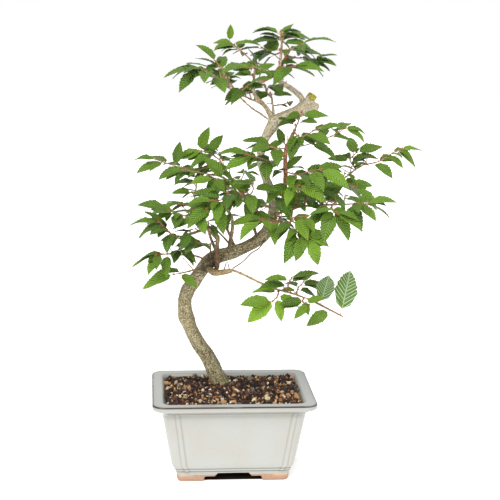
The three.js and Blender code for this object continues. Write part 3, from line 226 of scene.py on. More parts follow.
SPRAYS = [SprayPlan(*row) for row in (
    ("top_left_tip", "left_arm", 6, 34, 8, 0.2, [[-31, -40, 510], [-43, -47, 516], [-55, -52, 518]],
     {4: [-0.8, -0.4, -0.7, -0.3, -0.8, 0.5], 5: [-1, -0.1, 0.05, 0, -0.3, 1]}),
    ("top_left_up", "left_arm", 4, 31, 10, 0.4, [[-16, -20, 512], [-26, -18, 524]]),
    ("top_left_low", "left_arm", 3, 32, 35, 0.3, [[5, -40, 493], [10, -52, 499]]),
    ("top_left_back", "back_arm", 3, 31, -12, 0.3, [[-15, 48, 502], [-24, 58, 510]]),
    ("top_high_left", "leader_left", 5, 30, 8, 0.6, [[11, 6, 532], [0, 12, 541], [-9, 15, 548]],
     {1: [-1, -0.2, 0, 0, -0.8, 1], 2: [1, -0.1, 0.3, 0, -0.3, 1], 3: [-1, 0, 0.15, 0, -0.3, 1],
     4: [0.1, -0.1, 1, 0.1, -1, 0.2, 0.7]}),
    ("crown_tip", "crown_shoot", 5, 35, 5, 0.1, [[53, -5, 553], [53, -4, 560]],
     {0: [1, -0.3, 0.15, 0, -0.5, 1], 1: [-1, -0.2, 0.1, 0, -0.4, 1], 2: [0.2, 1, 0.1, 0, 0.3, 1],
     3: [1, 0.1, 0.05, 0, -0.4, 1], 4: [-1, 0, 0.25, 0, -0.3, 1]}),
    ("crown_right", "crown_shoot", 3, 37, 12, 0.4, [[63, -16, 540], [74, -26, 546]]),
    ("crown_left", "crown_shoot", 3, 35, -5, 0.4, [[45, 6, 533], [33, 16, 540]]),
    ("top_right_tip", "red_shoot", 5, 31, 8, 0.25, [[74, 4, 529], [86, 10, 529], [97, 15, 526]],
     {4: [1, 0, 0.15, 0, -0.2, 1]}),
    ("top_right_low", "red_shoot", 3, 31, 20, 0.3, [[59, -26, 519], [65, -37, 521]]),
    ("top_front", "red_shoot", 5, 33, 22, 0.25, [[32, -28, 515], [20, -40, 519], [10, -48, 519]],
     {0: [0.9, -0.4, -0.15, 0.1, -0.8, 0.7, 0.66]}),
    ("top_behind", "leader_right", 2, 31, -12, 0.3, [[46, 26, 509], [40, 38, 514]]),
    ("top_middle", "fine_leader", 2, 29, 40, 0.5, [[41, 10, 494], [45, 0, 496]],
     {0: [0.35, -0.8, -0.1, 0, -0.9, 0.8, 0.66]}),
    ("stub_twig", "fine_leader", 1, 18, 10, 0.9, [[59, 8, 472], [69, 12, 475]]),
    ("left_far_tip", "left_high", 6, 31, 18, 0.5, [[-32, 34, 389], [-56, 38, 387], [-79, 40, 392],
     [-97, 42, 398]], {2: [0.2, -0.2, 1, 0, -1, 0.2], 4: [-1, -0.2, -0.1, 0, -0.5, 1],
     5: [-1, 0, 0.2, 0, -0.3, 1]}),
    ("left_far_front", "left_high", 3, 31, 22, 0.35, [[-26, 4, 385], [-45, -10, 389], [-64, -20, 394]]),
    ("left_crown", "left_high", 5, 31, 30, 0.3, [[-27, 38, 405], [-39, 44, 409], [-50, 48, 410]],
     {1: [0.7, -0.3, 1, 0, -1, 0.4], 3: [0.4, -0.4, 1, 0, -1, 0.3], 4: [-0.3, -0.5, -0.8, 0, -1, 0.3]}),
    ("left_middle", "left_high", 4, 32, 28, 0.35, [[-11, 2, 378], [-27, -14, 383]]),
    ("left_inner", "left_high", 2, 31, 10, 0.4, [[10, 34, 374], [16, 42, 383]]),
    ("left_red_tip", "bend_back", 4, 29, 25, 0.3, [[-46, 46, 371], [-45, 47, 382]]),
    ("left_back_low", "bend_back", 3, 30, 15, 0.35, [[-54, 30, 342], [-67, 24, 344]]),
    ("left_pale", "bend_mid", 3, 33, 50, 0.4, [[-27, -42, 355], [-36, -54, 353]]),
    ("left_low_tip", "bend_front", 6, 30, 15, 0.45, [[-77, -54, 319], [-86, -58, 328], [-94, -62, 337]],
     {4: [-1, 0, -0.25, 0, -0.4, 1], 5: [-1, 0, 0.15, 0, -0.2, 1]}),
    ("left_dark", "bend_front", 3, 32, 32, 0.4, [[-40, -46, 335], [-47, -58, 345]]),
    ("left_thin_tip", "left_thin", 4, 30, 25, 0.1, [[-77, -44, 346], [-85, -48, 349]]),
    ("left_under", "low_thin", 4, 29, 15, 0.1, [[-90, -45, 294], [-97, -50, 294]]),
    ("bend_leaves", "bend_front", 3, 33, 20, 0.4, [[-38, -22, 300], [-48, -38, 307]],
     {0: [-0.8, -0.45, 0.1, 0, -0.6, 0.8]}),
    ("low_left", "low_stem", 3, 35, 20, 0.3, [[-67, -34, 268], [-75, -40, 268]],
     {1: [0.85, -0.45, -0.45, 0.1, -0.9, 0.6, 0.66], 2: [-1, -0.2, -0.35, -0.2, -0.7, 1]}),
    ("trunk_front", "red_stem", 5, 33, 22, 0.35, [[45, -28, 405], [27, -38, 411], [10, -44, 416]]),
    ("left_front_tip", "left_front", 3, 31, 30, 0.3, [[-20, -46, 361], [-30, -53, 361]]),
    ("trunk_left", "left_front", 3, 31, 28, 0.4, [[19, -34, 369], [19, -44, 380]]),
    ("behind_tip", "behind", 3, 32, -20, 0.3, [[7, 74, 354], [-2, 82, 362]]),
    ("back_left_tip", "back_left", 3, 32, -20, 0.3, [[-32, 82, 342], [-43, 92, 349]]),
    ("red_tip", "red_stem", 4, 28, 20, 0.3, [[75, -24, 456], [78, -26, 465]],
     {1: [-1, -0.25, -0.05, 0, -0.6, 1, 0.9], 2: [0.9, -0.3, -0.25, 0, -0.7, 1],
     3: [-0.8, -0.4, -0.15, 0, -1, 0.6, 0.6]}),
    ("right_top", "red_stem", 5, 33, 18, 0.3, [[77, -32, 436], [97, -40, 448]]),
    ("right_top_twig", "red_stem", 5, 31, 20, 0.4, [[79, -8, 422], [100, -2, 427], [123, 4, 435],
     [137, 8, 443]], {4: [1, 0, 0.2, 0, -0.4, 1]}),
    ("red_left", "red_stem", 4, 31, 25, 0.3, [[48, -30, 422], [38, -40, 425]]),
    ("red_right", "red_stem", 5, 35, 30, 0.35, [[76, -24, 389], [90, -34, 395], [100, -40, 398]]),
    ("red_front", "red_stem", 4, 33, 38, 0.35, [[67, -28, 378], [74, -42, 379]]),
    ("right_mid", "right_high", 3, 33, 30, 0.35, [[140, 14, 371], [152, 2, 370]]),
    ("right_up", "right_high", 5, 31, 25, 0.3, [[151, 44, 399], [160, 52, 407]]),
    ("right_tip", "right_high", 6, 29, 15, 0.2, [[186, 30, 399], [202, 26, 410], [212, 24, 416]],
     {4: [0.9, -0.1, -0.4, 0.2, -0.6, 1], 5: [1, 0, 0.1, 0, -0.3, 1]}),
    ("right_inner", "right_high", 4, 34, 32, 0.35, [[94, 4, 363], [104, -10, 364]]),
    ("right_behind", "right_high", 3, 33, 0, 0.35, [[115, 46, 383], [128, 54, 388]]),
    ("right_low_tip", "right_low", 5, 33, 25, 0.2, [[145, -46, 357], [158, -52, 358]],
     {3: [1, -0.1, -0.2, 0, -0.2, 1], 4: [1, 0.1, 0.25, 0, -0.4, 1]}),
    ("right_low_mid", "right_low", 4, 35, 30, 0.35, [[114, -50, 351], [118, -60, 348]]),
    ("front_right", "front_shoot", 5, 33, 28, 0.3, [[68, -44, 339], [83, -54, 342]]),
    ("front_low", "front_shoot", 5, 34, 48, 0.2, [[77, -57, 322], [84, -65, 320]],
     {4: [0.5, -0.3, -1, 0.2, -1, 0.1]}),
    ("front_left", "front_shoot", 4, 33, 26, 0.3, [[40, -42, 336], [28, -54, 339]]),
    ("right_back_tip", "right_back", 4, 33, -20, 0.25, [[130, 86, 357], [150, 94, 360]]),
    ("low_right_up", "low_limb", 4, 31, 25, 0.35, [[62, -70, 263], [64, -78, 272]],
     {0: [-1, -0.25, 0.2, 0, -0.5, 1], 2: [-1, -0.1, 0.3, 0, -0.4, 1],
     3: [1, 0.1, 0.25, 0, -0.3, 1, 0.7]}),
    ("low_right_lime", "low_limb", 3, 38, 45, 0.5, [[48, -68, 246], [43, -76, 243]],
     {0: [0.2, -0.4, -0.9, 0.1, -1, 0.3, 0.72], 1: [-1, -0.3, -0.7, -0.2, -1, 0.4],
     2: [-1, -0.1, 0.02, 0, -0.7, 0.9, 0.88]}),
    ("low_right_back", "low_limb", 4, 30, 15, 0.35, [[76, -48, 252], [83, -40, 257]]),
    ("low_right_front", "low_limb", 3, 30, 35, 0.4, [[79, -74, 241], [85, -84, 241]],
     {0: [-0.9, -0.35, 0.1, 0, -0.8, 0.9, 0.85], 1: [0.9, -0.1, 0.4, 0, -0.7, 0.9, 0.8],
     2: [-0.6, -0.5, -0.4, -0.2, -1, 0.5, 0.85]}),
    ("low_right_tip", "low_limb", 3, 52, 70, 0.3, [[109, -68, 232], [127, -71, 223]],
     {0: [0.15, -0.4, 1, 0.2, 1, 0.2, 0.92], 1: [-0.9, -0.4, -0.4, -0.2, -1, 0.5, 0.71],
     2: [0.2, 0, 1, 0.3, 1, 0.1]}),
)]

# How young and light a spray's leaves are, from 0 for old and dark to 1 for lime
YOUTH = {
    "low_right_lime": 0.95, "low_right_front": 0.55, "low_left": 0.6, "top_high_left": 0.5,
    "front_left": 0.5, "front_low": 0.6, "front_right": 0.45, "left_middle": 0.5,
    "left_crown": 0.42, "right_tip": 0.55, "right_top_twig": 0.4, "left_far_tip": 0.2,
    "top_left_low": 0.15, "top_left_tip": 0.2, "crown_tip": 0.15, "crown_left": 0.1,
    "top_right_tip": 0.2, "left_low_tip": 0.25, "behind_tip": 0.1, "back_left_tip": 0.1,
    "right_back_tip": 0.15, "low_right_tip": 0.3, "bend_leaves": 0.35, "red_front": 0.5,
}
USUAL_YOUTH = 0.3
# The same leaf by leaf, where it doesn't grow towards the tip
LEAF_YOUTH = {"low_right_lime": (1.0, 0.9, 0.45), "low_right_tip": (0.1, 0.35, 0.3)}

# Where each limb's bark lies, from 0 for grey wood to 1 for a red-brown shoot
SHOOT_TINT = {
    "leader_left": 0.35, "red_shoot": 1.0, "crown_shoot": 0.8, "red_stem": 0.86, "right_low": 0.7,
    "right_high": 0.6, "front_shoot": 0.6, "left_arm": 0.5, "back_arm": 0.5, "left_thin": 0.6,
    "low_thin": 0.7, "left_high": 0.55,
}
USUAL_TINT = 0.25
# How thin the thinnest parts of a limb are, as a share of their solids
SLIM = {
    "low_limb": 0.66, "low_stem": 0.7, "bend_front": 0.92, "bend_mid": 0.85, "bend_back": 0.7,
    "red_stem": 1.1, "red_shoot": 1.15, "crown_shoot": 0.95,
}
USUAL_SLIM = 0.74
# The same for the thickest parts of a limb, which mostly stay as they are
THINNED = {"leader_left": 0.74, "leader_right": 0.86, "right_low": 0.85, "right_high": 0.9}
# How much thicker than the others a spray's twig is
THICKER = {"low_right_tip": 1.6}
# How tan a limb is, and how much painted shade darkens it near its foot, inside the crown
TAN_TINT = {"low_limb": 0.3, "low_stem": 0.4, "leader_left": 0.35}
USUAL_TAN = 0.15
FOOT_SHADE = {
    "bend_front": 0.5, "bend_mid": 0.5, "bend_back": 0.55, "left_thin": 0.3, "low_thin": 0.4,
    "back_left": 0.25, "behind": 0.25,
}


@dataclass(frozen=True)
class BareStem:
    """A leafless stem that only the eye needs: its middle line, youth, shade and tan."""

    line: Line
    youth: float
    shade: float
    tan: float = 0.2


# A stem's shade darkens it: painted shade on the stems round the trunk's bend, inside the crown.
BARE_STEMS = [BareStem(*row) for row in (
    ([[-34, 0, 268.5, 3.4], [-29, -8, 265.5, 4.3], [-24, -15, 264, 4.2],
     [-14, -24, 267, 3.7], [-6, -30.4, 270, 2.9]], 0.12, 0.3, 0.55),
    ([[-23, -3, 265, 2.9], [-21.1, -8, 271, 3.0], [-21.3, -10, 283, 2.8],
     [-21.6, -8, 295, 2.6]], 0.5, 0.52),
    ([[-27.5, -2, 268, 1.1], [-28.3, -7, 275, 1.2], [-29.6, -8, 287, 1.1],
     [-30.2, -9, 300, 0.9]], 0.4, 0.75),
    ([[-3, -12, 325, 1.6], [4.9, -12, 331.3, 1.6], [15.1, -9, 331.6, 1.5],
     [25.5, -4, 332, 1.5], [40, 4, 335.2, 1.6]], 0.3, 0.1),
    ([[1, 1, 288, 1.5], [-1.4, 0, 292, 1.4], [-9.6, -3, 302.7, 1.2],
     [-21.2, -6, 315.3, 1.1]], 0.3, 0.55),
    ([[-3.6, -31, 273.1, 0.9], [9.8, -24, 280.4, 0.8], [20.4, -14, 288.4, 0.85],
     [31, -6, 293.3, 0.8], [39, 2, 301.6, 0.8]], 0.45, 0.3),
    ([[-13.8, -25.5, 270, 0.8], [-10.6, -20, 278.3, 0.6]], 0.3, 0.6),
    ([[-7.4, -28.5, 271.8, 0.7], [-9.3, -24, 279.8, 0.5]], 0.3, 0.6),
)]

# How many small leaves fill a spray, as a share of its first ones, where it isn't the usual
FILL = {
    "low_right_lime": 0.0, "low_right_front": 0.34, "low_right_up": 0.25, "low_right_back": 0.5,
    "low_right_tip": 0.0, "low_left": 0.0, "bend_leaves": 0.34, "red_tip": 0.25,
    "top_middle": 0.0, "top_front": 0.8,
}
# Small leaves that hang where they are wanted: share of the twig, heading and face, length
PLACED = {
    "low_right_lime": [
        (0.05, [-1.0, -0.1, 0.22, 0.0, -0.4, 1.0], 29.0),
        (0.3, [0.9, -0.45, -0.35, 0.1, -1.0, 0.5], 26.0),
    ],
    "low_right_front": [(0.1, [-0.75, -0.45, -0.1, 0.0, -0.9, 0.6], 27.0)],
}
# From which share of a limb short shoots grow, past 1 for none
SHOOT_START = {
    "stub": 2.0, "low_limb": 2.0, "low_stem": 2.0, "low_thin": 0.7, "bend_front": 0.6,
    "bend_mid": 0.6, "bend_back": 0.6, "left_arm": 0.7, "leader_left": 0.65,
    "leader_right": 2.0, "back_left": 0.5, "behind": 0.5, "left_thin": 0.6,
}
USUAL_START = 0.35


def srgb(red: float, green: float, blue: float) -> Colour:
    """A display colour from 0 to 255 as scene-linear numbers.

    Args:
        red: Its red.
        green: Its green.
        blue: Its blue.

    Returns:
        The same colour for a material, opaque.
    """
    def linear(value: float) -> float:
        """One of its parts."""
        share = value / 255
        return share / 12.92 if share <= 0.04045 else ((share + 0.055) / 1.055) ** 2.4
    return (linear(red), linear(green), linear(blue), 1.0)


def smooth(low: float, high: float, value: float) -> float:
    """A share from 0 to 1 that eases between the two limits."""
    share = min(max((value - low) / (high - low), 0.0), 1.0)
    return share * share * (3 - 2 * share)


def linked(name: str, bm: BMesh, finishes: Sequence[Material] = ()) -> bpy.types.Object:
    """Puts a bmesh into the scene as a new object, and frees the bmesh.

    Args:
        name: The object's name.
        bm: Its mesh.
        finishes: Its materials.

    Returns:
        The object.
    """
    mesh = bpy.data.meshes.new(name)
    bm.to_mesh(mesh)
    bm.free()
    for finish in finishes:
        mesh.materials.append(finish)
    made = bpy.data.objects.new(name, mesh)
    bpy.context.scene.collection.objects.link(made)
    return made


def tinted_mesh() -> BMesh:
    """Starts a mesh with a tint for each point and a map for leaves.

    Returns:
        The empty mesh.
    """
    bm = bmesh.new()
    bm.loops.layers.uv.new("UVMap")
    bm.verts.layers.float_color.new("tint")
    return bm


def add_grid(bm: BMesh, columns: int, rows: int) -> list[tuple[BMVert, int, int]]:
    """Adds a flat grid.

    Args:
        bm: The mesh that it is added to.
        columns: Its columns of faces.
        rows: Its rows of faces.

    Returns:
        Each point with its column and its row.
    """
    verts = bmesh.ops.create_grid(
        bm, x_segments=columns, y_segments=rows, size=0.5, calc_uvs=False)["verts"]
    return [
        (vert, round((vert.co.x + 0.5) * columns), round((vert.co.y + 0.5) * rows))
        for vert in verts
    ]


class Maker:
    """Places millimetre points in the frame, and turns finished bmeshes into pieces."""

    def __init__(self) -> None:
        """Reads the pot's place from the frame."""
        low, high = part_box("pot")
        self.origin = Vector(((low.x + high.x) / 2, (low.y + high.y) / 2, low.z))

    def at(self, point: Sequence[float]) -> Vector:
        """The place of a millimetre point, in metres."""
        return self.origin + Vector((point[0], point[1], point[2])) * MM

    def piece(
        self, name: str, bm: BMesh, finishes: Sequence[Material], slot: str,
        nodes: Sequence[str] = (), smooth_faces: bool = True,
    ) -> bpy.types.Object:
        """Makes one piece that rides with the plant.

        Args:
            name: The piece's name.
            bm: Its mesh in metres, which is freed.
            finishes: Its materials, in the order of the faces' material numbers.
            slot: The name of its material slot, which is not used.
            nodes: The solids it stands for.
            smooth_faces: Whether its faces are shaded smooth.

        Returns:
            The new object.
        """
        for face in bm.faces:
            face.smooth = smooth_faces
        made = linked(name, bm, finishes)
        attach(made, "root")
        if nodes:
            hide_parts(*nodes)
        log.info("%s: %d faces", name, len(made.data.polygons))
        return made


class Graph:
    """The node graph of one material, from its colour to its relief."""

    def __init__(self, name: str, roughness: float, specular: float) -> None:
        """Starts a material.

        Args:
            name: The material's name.
            roughness: Its roughness where nothing is linked to that.
            specular: Its specular level.
        """
        self.material = bpy.data.materials.new(name)
        self.material.use_nodes = True
        self.tree = self.material.node_tree
        self.surface = self.tree.nodes["Principled BSDF"]
        self.surface.inputs["Roughness"].default_value = roughness
        self.surface.inputs["Specular IOR Level"].default_value = specular
        source = self.tree.nodes.new("ShaderNodeTexCoord")
        self.place = source.outputs["Object"]
        self.leaf_place = source.outputs["UV"]

    def join(self, value: Value, socket: Socket) -> None:
        """Links an output to an input, or sets the input to a plain value.

        Args:
            value: The output or the plain value.
            socket: The input.
        """
        if isinstance(value, Socket):
            self.tree.links.new(value, socket)
        else:
            socket.default_value = value

    def add(self, kind: str, inputs: dict[str | int, Value]) -> bpy.types.ShaderNode:
        """Adds a node.

        Args:
            kind: Its kind in Blender, without the words ShaderNode.
            inputs: What goes into it, by the input's name or number.

        Returns:
            The node.
        """
        node = self.tree.nodes.new(f"ShaderNode{kind}")
        for name, value in inputs.items():
            self.join(value, node.inputs[name])
        return node

    def step(self, kind: str, first: Value, second: Value = 0.0) -> Socket:
        """One step of arithmetic.

        Args:
            kind: The operation's name in Blender.
            first: Its first value.
            second: Its second value.

        Returns:
            The result's socket.
        """
        node = self.add("Math", {0: first, 1: second})
        node.operation = kind
        return node.outputs[0]

    def plus(self, first: Value, second: Value) -> Socket:
        """The sum of two values."""
        return self.step("ADD", first, second)

    def minus(self, first: Value, second: Value) -> Socket:
        """The first value less the second."""
        return self.step("SUBTRACT", first, second)

    def times(self, first: Value, second: Value) -> Socket:
        """The product of two values."""
        return self.step("MULTIPLY", first, second)

    def noise(self, scale: float, detail: float, warp: float = 0.0) -> Socket:
        """Cloudy noise on the object's own coordinates.

        Args:
            scale: Its size, in clouds a metre.
            detail: How many finer layers it has.
            warp: How far it is swirled.

        Returns:
            Its value, mostly from 0.3 to 0.7.
        """
        node = self.add("TexNoise", {
            "Scale": scale, "Detail": detail, "Distortion": warp, "Vector": self.place})
        return node.outputs["Fac"]

    def ease(self, value: Value, low: float, high: float) -> Socket:
        """Eases a value into a share from 0 to 1.

        Args:
            value: The value.
            low: Where the share is 0.
            high: Where it is 1, which may be below the other.

        Returns:
            The share.
        """
        node = self.add("MapRange", {
            "Value": value, "From Min": min(low, high), "From Max": max(low, high),
            "To Min": float(low > high), "To Max": float(low < high)})
        node.interpolation_type = "SMOOTHSTEP"
        return node.outputs["Result"]

    def blend(self, share: Value, first: Value, second: Value, kind: str = "MIX") -> Socket:
        """Two colours mixed.

        Args:
            share: How much of the second there is.
            first: The first colour.
            second: The second colour.
            kind: The mixing mode.

        Returns:
            The mixed colour.
        """
        node = self.add("Mix", {})
        node.data_type = "RGBA"
        node.blend_type = kind
        for value, number in ((share, 0), (first, 6), (second, 7)):
            self.join(value, node.inputs[number])
        return node.outputs[2]

    def attribute(self, name: str) -> Socket:
        """Reads a colour attribute of the piece.

        Args:
            name: The attribute's name.

        Returns:
            Its colour.
        """
        node = self.add("Attribute", {})
        node.attribute_name = name
        return node.outputs["Color"]

    def parts(self, colour: Socket) -> list[Socket]:
        """The red, green and blue of a colour, or the x, y and z of a place."""
        return list(self.add("SeparateXYZ", {0: colour}).outputs)

    def relief(self, height: Value, depth: float) -> None:
        """Gives the surface a bump.

        Args:
            height: The relief, from 0 to 1.
            depth: Its real depth in metres.
        """
        node = self.add("Bump", {"Distance": depth, "Height": height})
        self.join(node.outputs[0], self.surface.inputs["Normal"])

    def colour(self, value: Value) -> None:
        """Sets the surface's colour."""
        self.join(value, self.surface.inputs["Base Color"])

    def rough(self, value: Value) -> None:
        """Sets the surface's roughness."""
        self.join(value, self.surface.inputs["Roughness"])

    def let_through(self, share: float, colour: Value) -> None:
        """Lets light through a thin leaf.

        Args:
            share: How much of the light goes through.
            colour: The colour that it takes.
        """
        thin = self.add("BsdfTranslucent", {"Color": colour})
        both = self.add("MixShader", {0: share, 1: self.surface.outputs[0], 2: thin.outputs[0]})
        self.join(both.outputs[0], self.tree.nodes["Material Output"].inputs["Surface"])


@dataclass(frozen=True)
class BarkFinish:
    """Smooth mottled grey bark that turns tan, or red-brown on young shoots."""

    name: str = "bark"
    grey: Colour = srgb(106, 99, 72)
    pale: Colour = srgb(158, 150, 116)
    dark: Colour = srgb(74, 62, 38)
    brown: Colour = srgb(84, 66, 40)
    fleck: Colour = srgb(50, 40, 28)
    olive: Colour = srgb(90, 93, 42)
    sunlit: Colour = srgb(236, 230, 208)
    tan: Colour = srgb(196, 172, 112)
    red: Colour = srgb(128, 64, 36)
    orange: Colour = srgb(174, 106, 60)
    shade: Colour = srgb(58, 46, 34)
    roughness: float = 0.72

    def make(self) -> Material:
        """Makes the bark, whose tint attribute holds youth, shade and tan.

        Returns:
            The material.
        """
        graph = Graph(self.name, self.roughness, 0.3)
        broad = graph.noise(55.0, 4.0, warp=0.6)
        fine = graph.noise(620.0, 5.0)
        spots = graph.ease(graph.noise(430.0, 6.0, warp=0.6), 0.48, 0.6)
        colour = graph.blend(graph.ease(broad, 0.38, 0.6), self.grey, self.pale)
        level = graph.parts(graph.place)[2]
        # Painted light: the wood high up is drawn paler, towards the sunlit colour.
        colour = graph.blend(graph.ease(level, 0.31, 0.42), colour, self.sunlit)
        elbow = graph.times(graph.ease(level, 0.22, 0.265), graph.ease(level, 0.34, 0.29))
        browned = graph.times(elbow, graph.times(graph.ease(broad, 0.62, 0.4), 0.7))
        colour = graph.blend(browned, colour, self.brown)
        spotted = graph.times(spots, graph.plus(0.5, graph.times(elbow, 0.35)))
        colour = graph.blend(spotted, colour, self.dark)
        low = graph.ease(level, 0.17, 0.105)
        moss = graph.ease(graph.noise(90.0, 5.0), 0.36, 0.56)
        moss = graph.times(graph.plus(graph.times(low, 0.8), 0.16), moss)
        colour = graph.blend(moss, colour, self.olive)
        # Painted highlight: fine specks are lifted part way towards the sunlit colour.
        lit = graph.blend(0.45, colour, self.sunlit)
        colour = graph.blend(graph.ease(fine, 0.5, 0.6), colour, lit)
        youth, shade, warm = graph.parts(graph.attribute("tint"))
        colour = graph.blend(warm, colour, self.tan)
        shoot = graph.blend(graph.ease(fine, 0.42, 0.58), self.red, self.orange)
        colour = graph.blend(youth, colour, shoot)
        # Mostly painted shade: hollows, joins, the trunk's right side and stems inside the crown.
        colour = graph.blend(shade, colour, self.shade)
        cracks = graph.times(graph.ease(fine, 0.47, 0.38), 0.5)
        colour = graph.blend(cracks, colour, self.fleck)
        graph.colour(colour)
        graph.relief(graph.plus(fine, graph.times(spots, -0.4)), 0.0009)
        return graph.material


@dataclass(frozen=True)
class BudFinish:
    """Orange-brown bud scales."""

    colour: Colour = srgb(188, 112, 62)
    tip: Colour = srgb(132, 70, 38)

    def make(self) -> Material:
        """Makes the mottled scales.

        Returns:
            The material.
        """
        graph = Graph("bud", 0.5, 0.4)
        mottled = graph.ease(graph.noise(700.0, 3.0), 0.42, 0.6)
        graph.colour(graph.blend(mottled, self.tip, self.colour))
        return graph.material


@dataclass(frozen=True)
class LeafFinish:
    """Pleated, veined leaf, one side of it."""

    name: str
    dark: Colour
    fresh: Colour
    young: Colour
    vein: Colour
    veins_shown: float
    roughness: float
    through: float = 0.2
    scorch: Colour = srgb(120, 92, 46)

    def make(self) -> Material:
        """Makes the leaf side, with its veins from the leaf's own map.

        Returns:
            The material.
        """
        graph = Graph(self.name, self.roughness, 0.36)
        across, along, _ = graph.parts(graph.leaf_place)
        side = graph.step("ABSOLUTE", graph.minus(across, 0.5))
        slant = graph.times(side, VEIN_SLANT)
        phase = graph.times(graph.minus(along, slant), VEINS)
        part = graph.step("FRACT", graph.plus(phase, 8.0))
        away = graph.minus(0.5, graph.step("ABSOLUTE", graph.minus(part, 0.5)))
        veins = graph.ease(away, 0.22, 0.04)
        rib = graph.ease(side, 0.022, 0.008)
        lines = graph.step("MAXIMUM", veins, rib)
        youth, chance, blemish = graph.parts(graph.attribute("tint"))
        cloud = graph.noise(70.0, 3.0)
        tone = graph.plus(graph.times(chance, 0.75), graph.ease(cloud, 0.3, 1.2))
        colour = graph.blend(graph.step("MINIMUM", tone, 1.0), self.dark, self.fresh)
        colour = graph.blend(youth, colour, self.young)
        colour = graph.blend(graph.times(lines, self.veins_shown), colour, self.vein)
        spots = graph.ease(graph.noise(500.0, 2.0), 0.62, 0.7)
        colour = graph.blend(graph.times(spots, blemish), colour, self.scorch)
        graph.colour(colour)
        pleats = graph.ease(away, 0.0, 0.45)
        graph.relief(graph.minus(pleats, graph.times(rib, 0.6)), 0.0016)
        graph.let_through(self.through, colour)
        return graph.material


@dataclass(frozen=True)
class GlazeFinish:
    """Pale grey-green glaze that thins to brown on edges, over pinkish clay."""

    body: Colour = srgb(163, 164, 160)
    warm: Colour = srgb(163, 161, 154)
    top: Colour = srgb(157, 159, 156)
    pooled_glaze_and_shade: Colour = srgb(100, 103, 90)
    edge: Colour = srgb(50, 36, 28)
    blue: Colour = srgb(84, 96, 104)
    clay: Colour = srgb(150, 121, 103)
    pink: Colour = srgb(166, 130, 108)
    cream: Colour = srgb(206, 182, 138)
    painted_underside_shade: Colour = srgb(78, 58, 48)
    roughness: float = 0.22

    def make(self) -> Material:
        """Makes the glaze; its tint holds pooled glaze, thin edge and bare clay, partly as painted
        shade.

        Returns:
            The material.
        """
        graph = Graph("glaze", self.roughness, 0.5)
        pooled_glaze_and_shade, thin, bare = graph.parts(graph.attribute("tint"))
        cloud = graph.noise(16.0, 3.0)
        speck = graph.ease(graph.noise(900.0, 2.0), 0.66, 0.74)
        colour = graph.blend(graph.ease(cloud, 0.4, 0.66), self.body, self.warm)
        level = graph.parts(graph.place)[2]
        rim = graph.ease(level, 0.108, 0.1089)
        colour = graph.blend(rim, colour, self.top)
        colour = graph.blend(graph.times(speck, 0.3), colour, self.edge)
        colour = graph.blend(pooled_glaze_and_shade, colour, self.pooled_glaze_and_shade)
        streak = graph.ease(graph.noise(26.0, 3.0), 0.5, 0.64)
        edge = graph.blend(graph.times(streak, rim), self.edge, self.blue)
        colour = graph.blend(thin, colour, edge)
        grain = graph.noise(700.0, 4.0)
        clay = graph.blend(graph.ease(grain, 0.35, 0.65), self.clay, self.pink)
        # Cream patches on bare clay; on the feet's tops this is a painted highlight line.
        cream_highlight = graph.times(pooled_glaze_and_shade, graph.ease(graph.noise(34.0, 2.0), 0.47, 0.56))
        clay = graph.blend(graph.times(cream_highlight, 0.7), clay, self.cream)
        # Painted shade: bare clay with a thin edge, the underside, is drawn dark.
        clay = graph.blend(thin, clay, self.painted_underside_shade)
        graph.colour(graph.blend(bare, colour, clay))
        graph.rough(graph.plus(graph.times(bare, 0.6), self.roughness))
        graph.relief(graph.plus(cloud, graph.times(grain, bare)), 0.0006)
        return graph.material


@dataclass(frozen=True)
class GrainFinish:
    """Crumbly mineral and bark grains in their own colours."""

    hollows: Colour = (0.45, 0.42, 0.4, 1.0)
    roughness: float = 0.85

    def make(self) -> Material:
        """Makes the grains, each coloured by its tint attribute.

        Returns:
            The material.
        """
        graph = Graph("soil mix", self.roughness, 0.3)
        fine = graph.noise(900.0, 4.0)
        colour = graph.attribute("tint")
        dark = graph.blend(1.0, colour, self.hollows, "MULTIPLY")
        colour = graph.blend(graph.ease(fine, 0.34, 0.6), dark, colour)
        graph.colour(colour)
        graph.relief(fine, 0.0009)
        return graph.material


@dataclass(frozen=True)
class ScreenFinish:
    """Black moulded plastic net."""

    colour: Colour = srgb(32, 33, 34)
    grain: Colour = srgb(46, 47, 48)

    def make(self) -> Material:
        """Makes the plastic, lightly grained.

        Returns:
            The material.
        """
        graph = Graph("screen plastic", 0.5, 0.4)
        grain = graph.noise(1500.0, 2.0)
        graph.colour(graph.blend(grain, self.colour, self.grain))
        graph.relief(grain, 0.0001)
        return graph.material


def smooth_rows(points: Line, spacing: float) -> Array:
    """Rings along a smooth curve through control points.

    Args:
        points: The control points: x, y, z and radius.
        spacing: The wished distance between rings.

    Returns:
        One row of x, y, z and radius for each ring.
    """
    knots = np.array(points, dtype=float)
    ends = np.vstack([2 * knots[0] - knots[1], knots, 2 * knots[-1] - knots[-2]])
    ends[:, 3] = np.maximum(ends[:, 3], 0.1)
    rows = []
    for index in range(1, len(ends) - 2):
        before, here, after, beyond = ends[index - 1:index + 3]
        steps = max(1, round(float(np.linalg.norm((after - here)[:3])) / spacing))
        for step in range(steps):
            part = step / steps
            rows.append(0.5 * (
                2 * here + (after - before) * part
                + (2 * before - 5 * here + 4 * after - beyond) * part ** 2
                + (3 * here - before - 3 * after + beyond) * part ** 3
            ))
    rows.append(knots[-1])
    return np.array(rows)


def unit(vector: Array) -> Array:
    """The vector at length 1."""
    return vector / math.sqrt(float(vector @ vector))


def turned(vector: Array, axis: Array, angle: float) -> Array:
    """Turns a vector about an axis.

    Args:
        vector: The vector.
        axis: The axis, at length 1.
        angle: The angle in radians.

    Returns:
        The turned vector.
    """
    level = float(vector @ axis)
    return (
        vector * math.cos(angle) + np.cross(axis, vector) * math.sin(angle)
        + axis * level * (1 - math.cos(angle))
    )


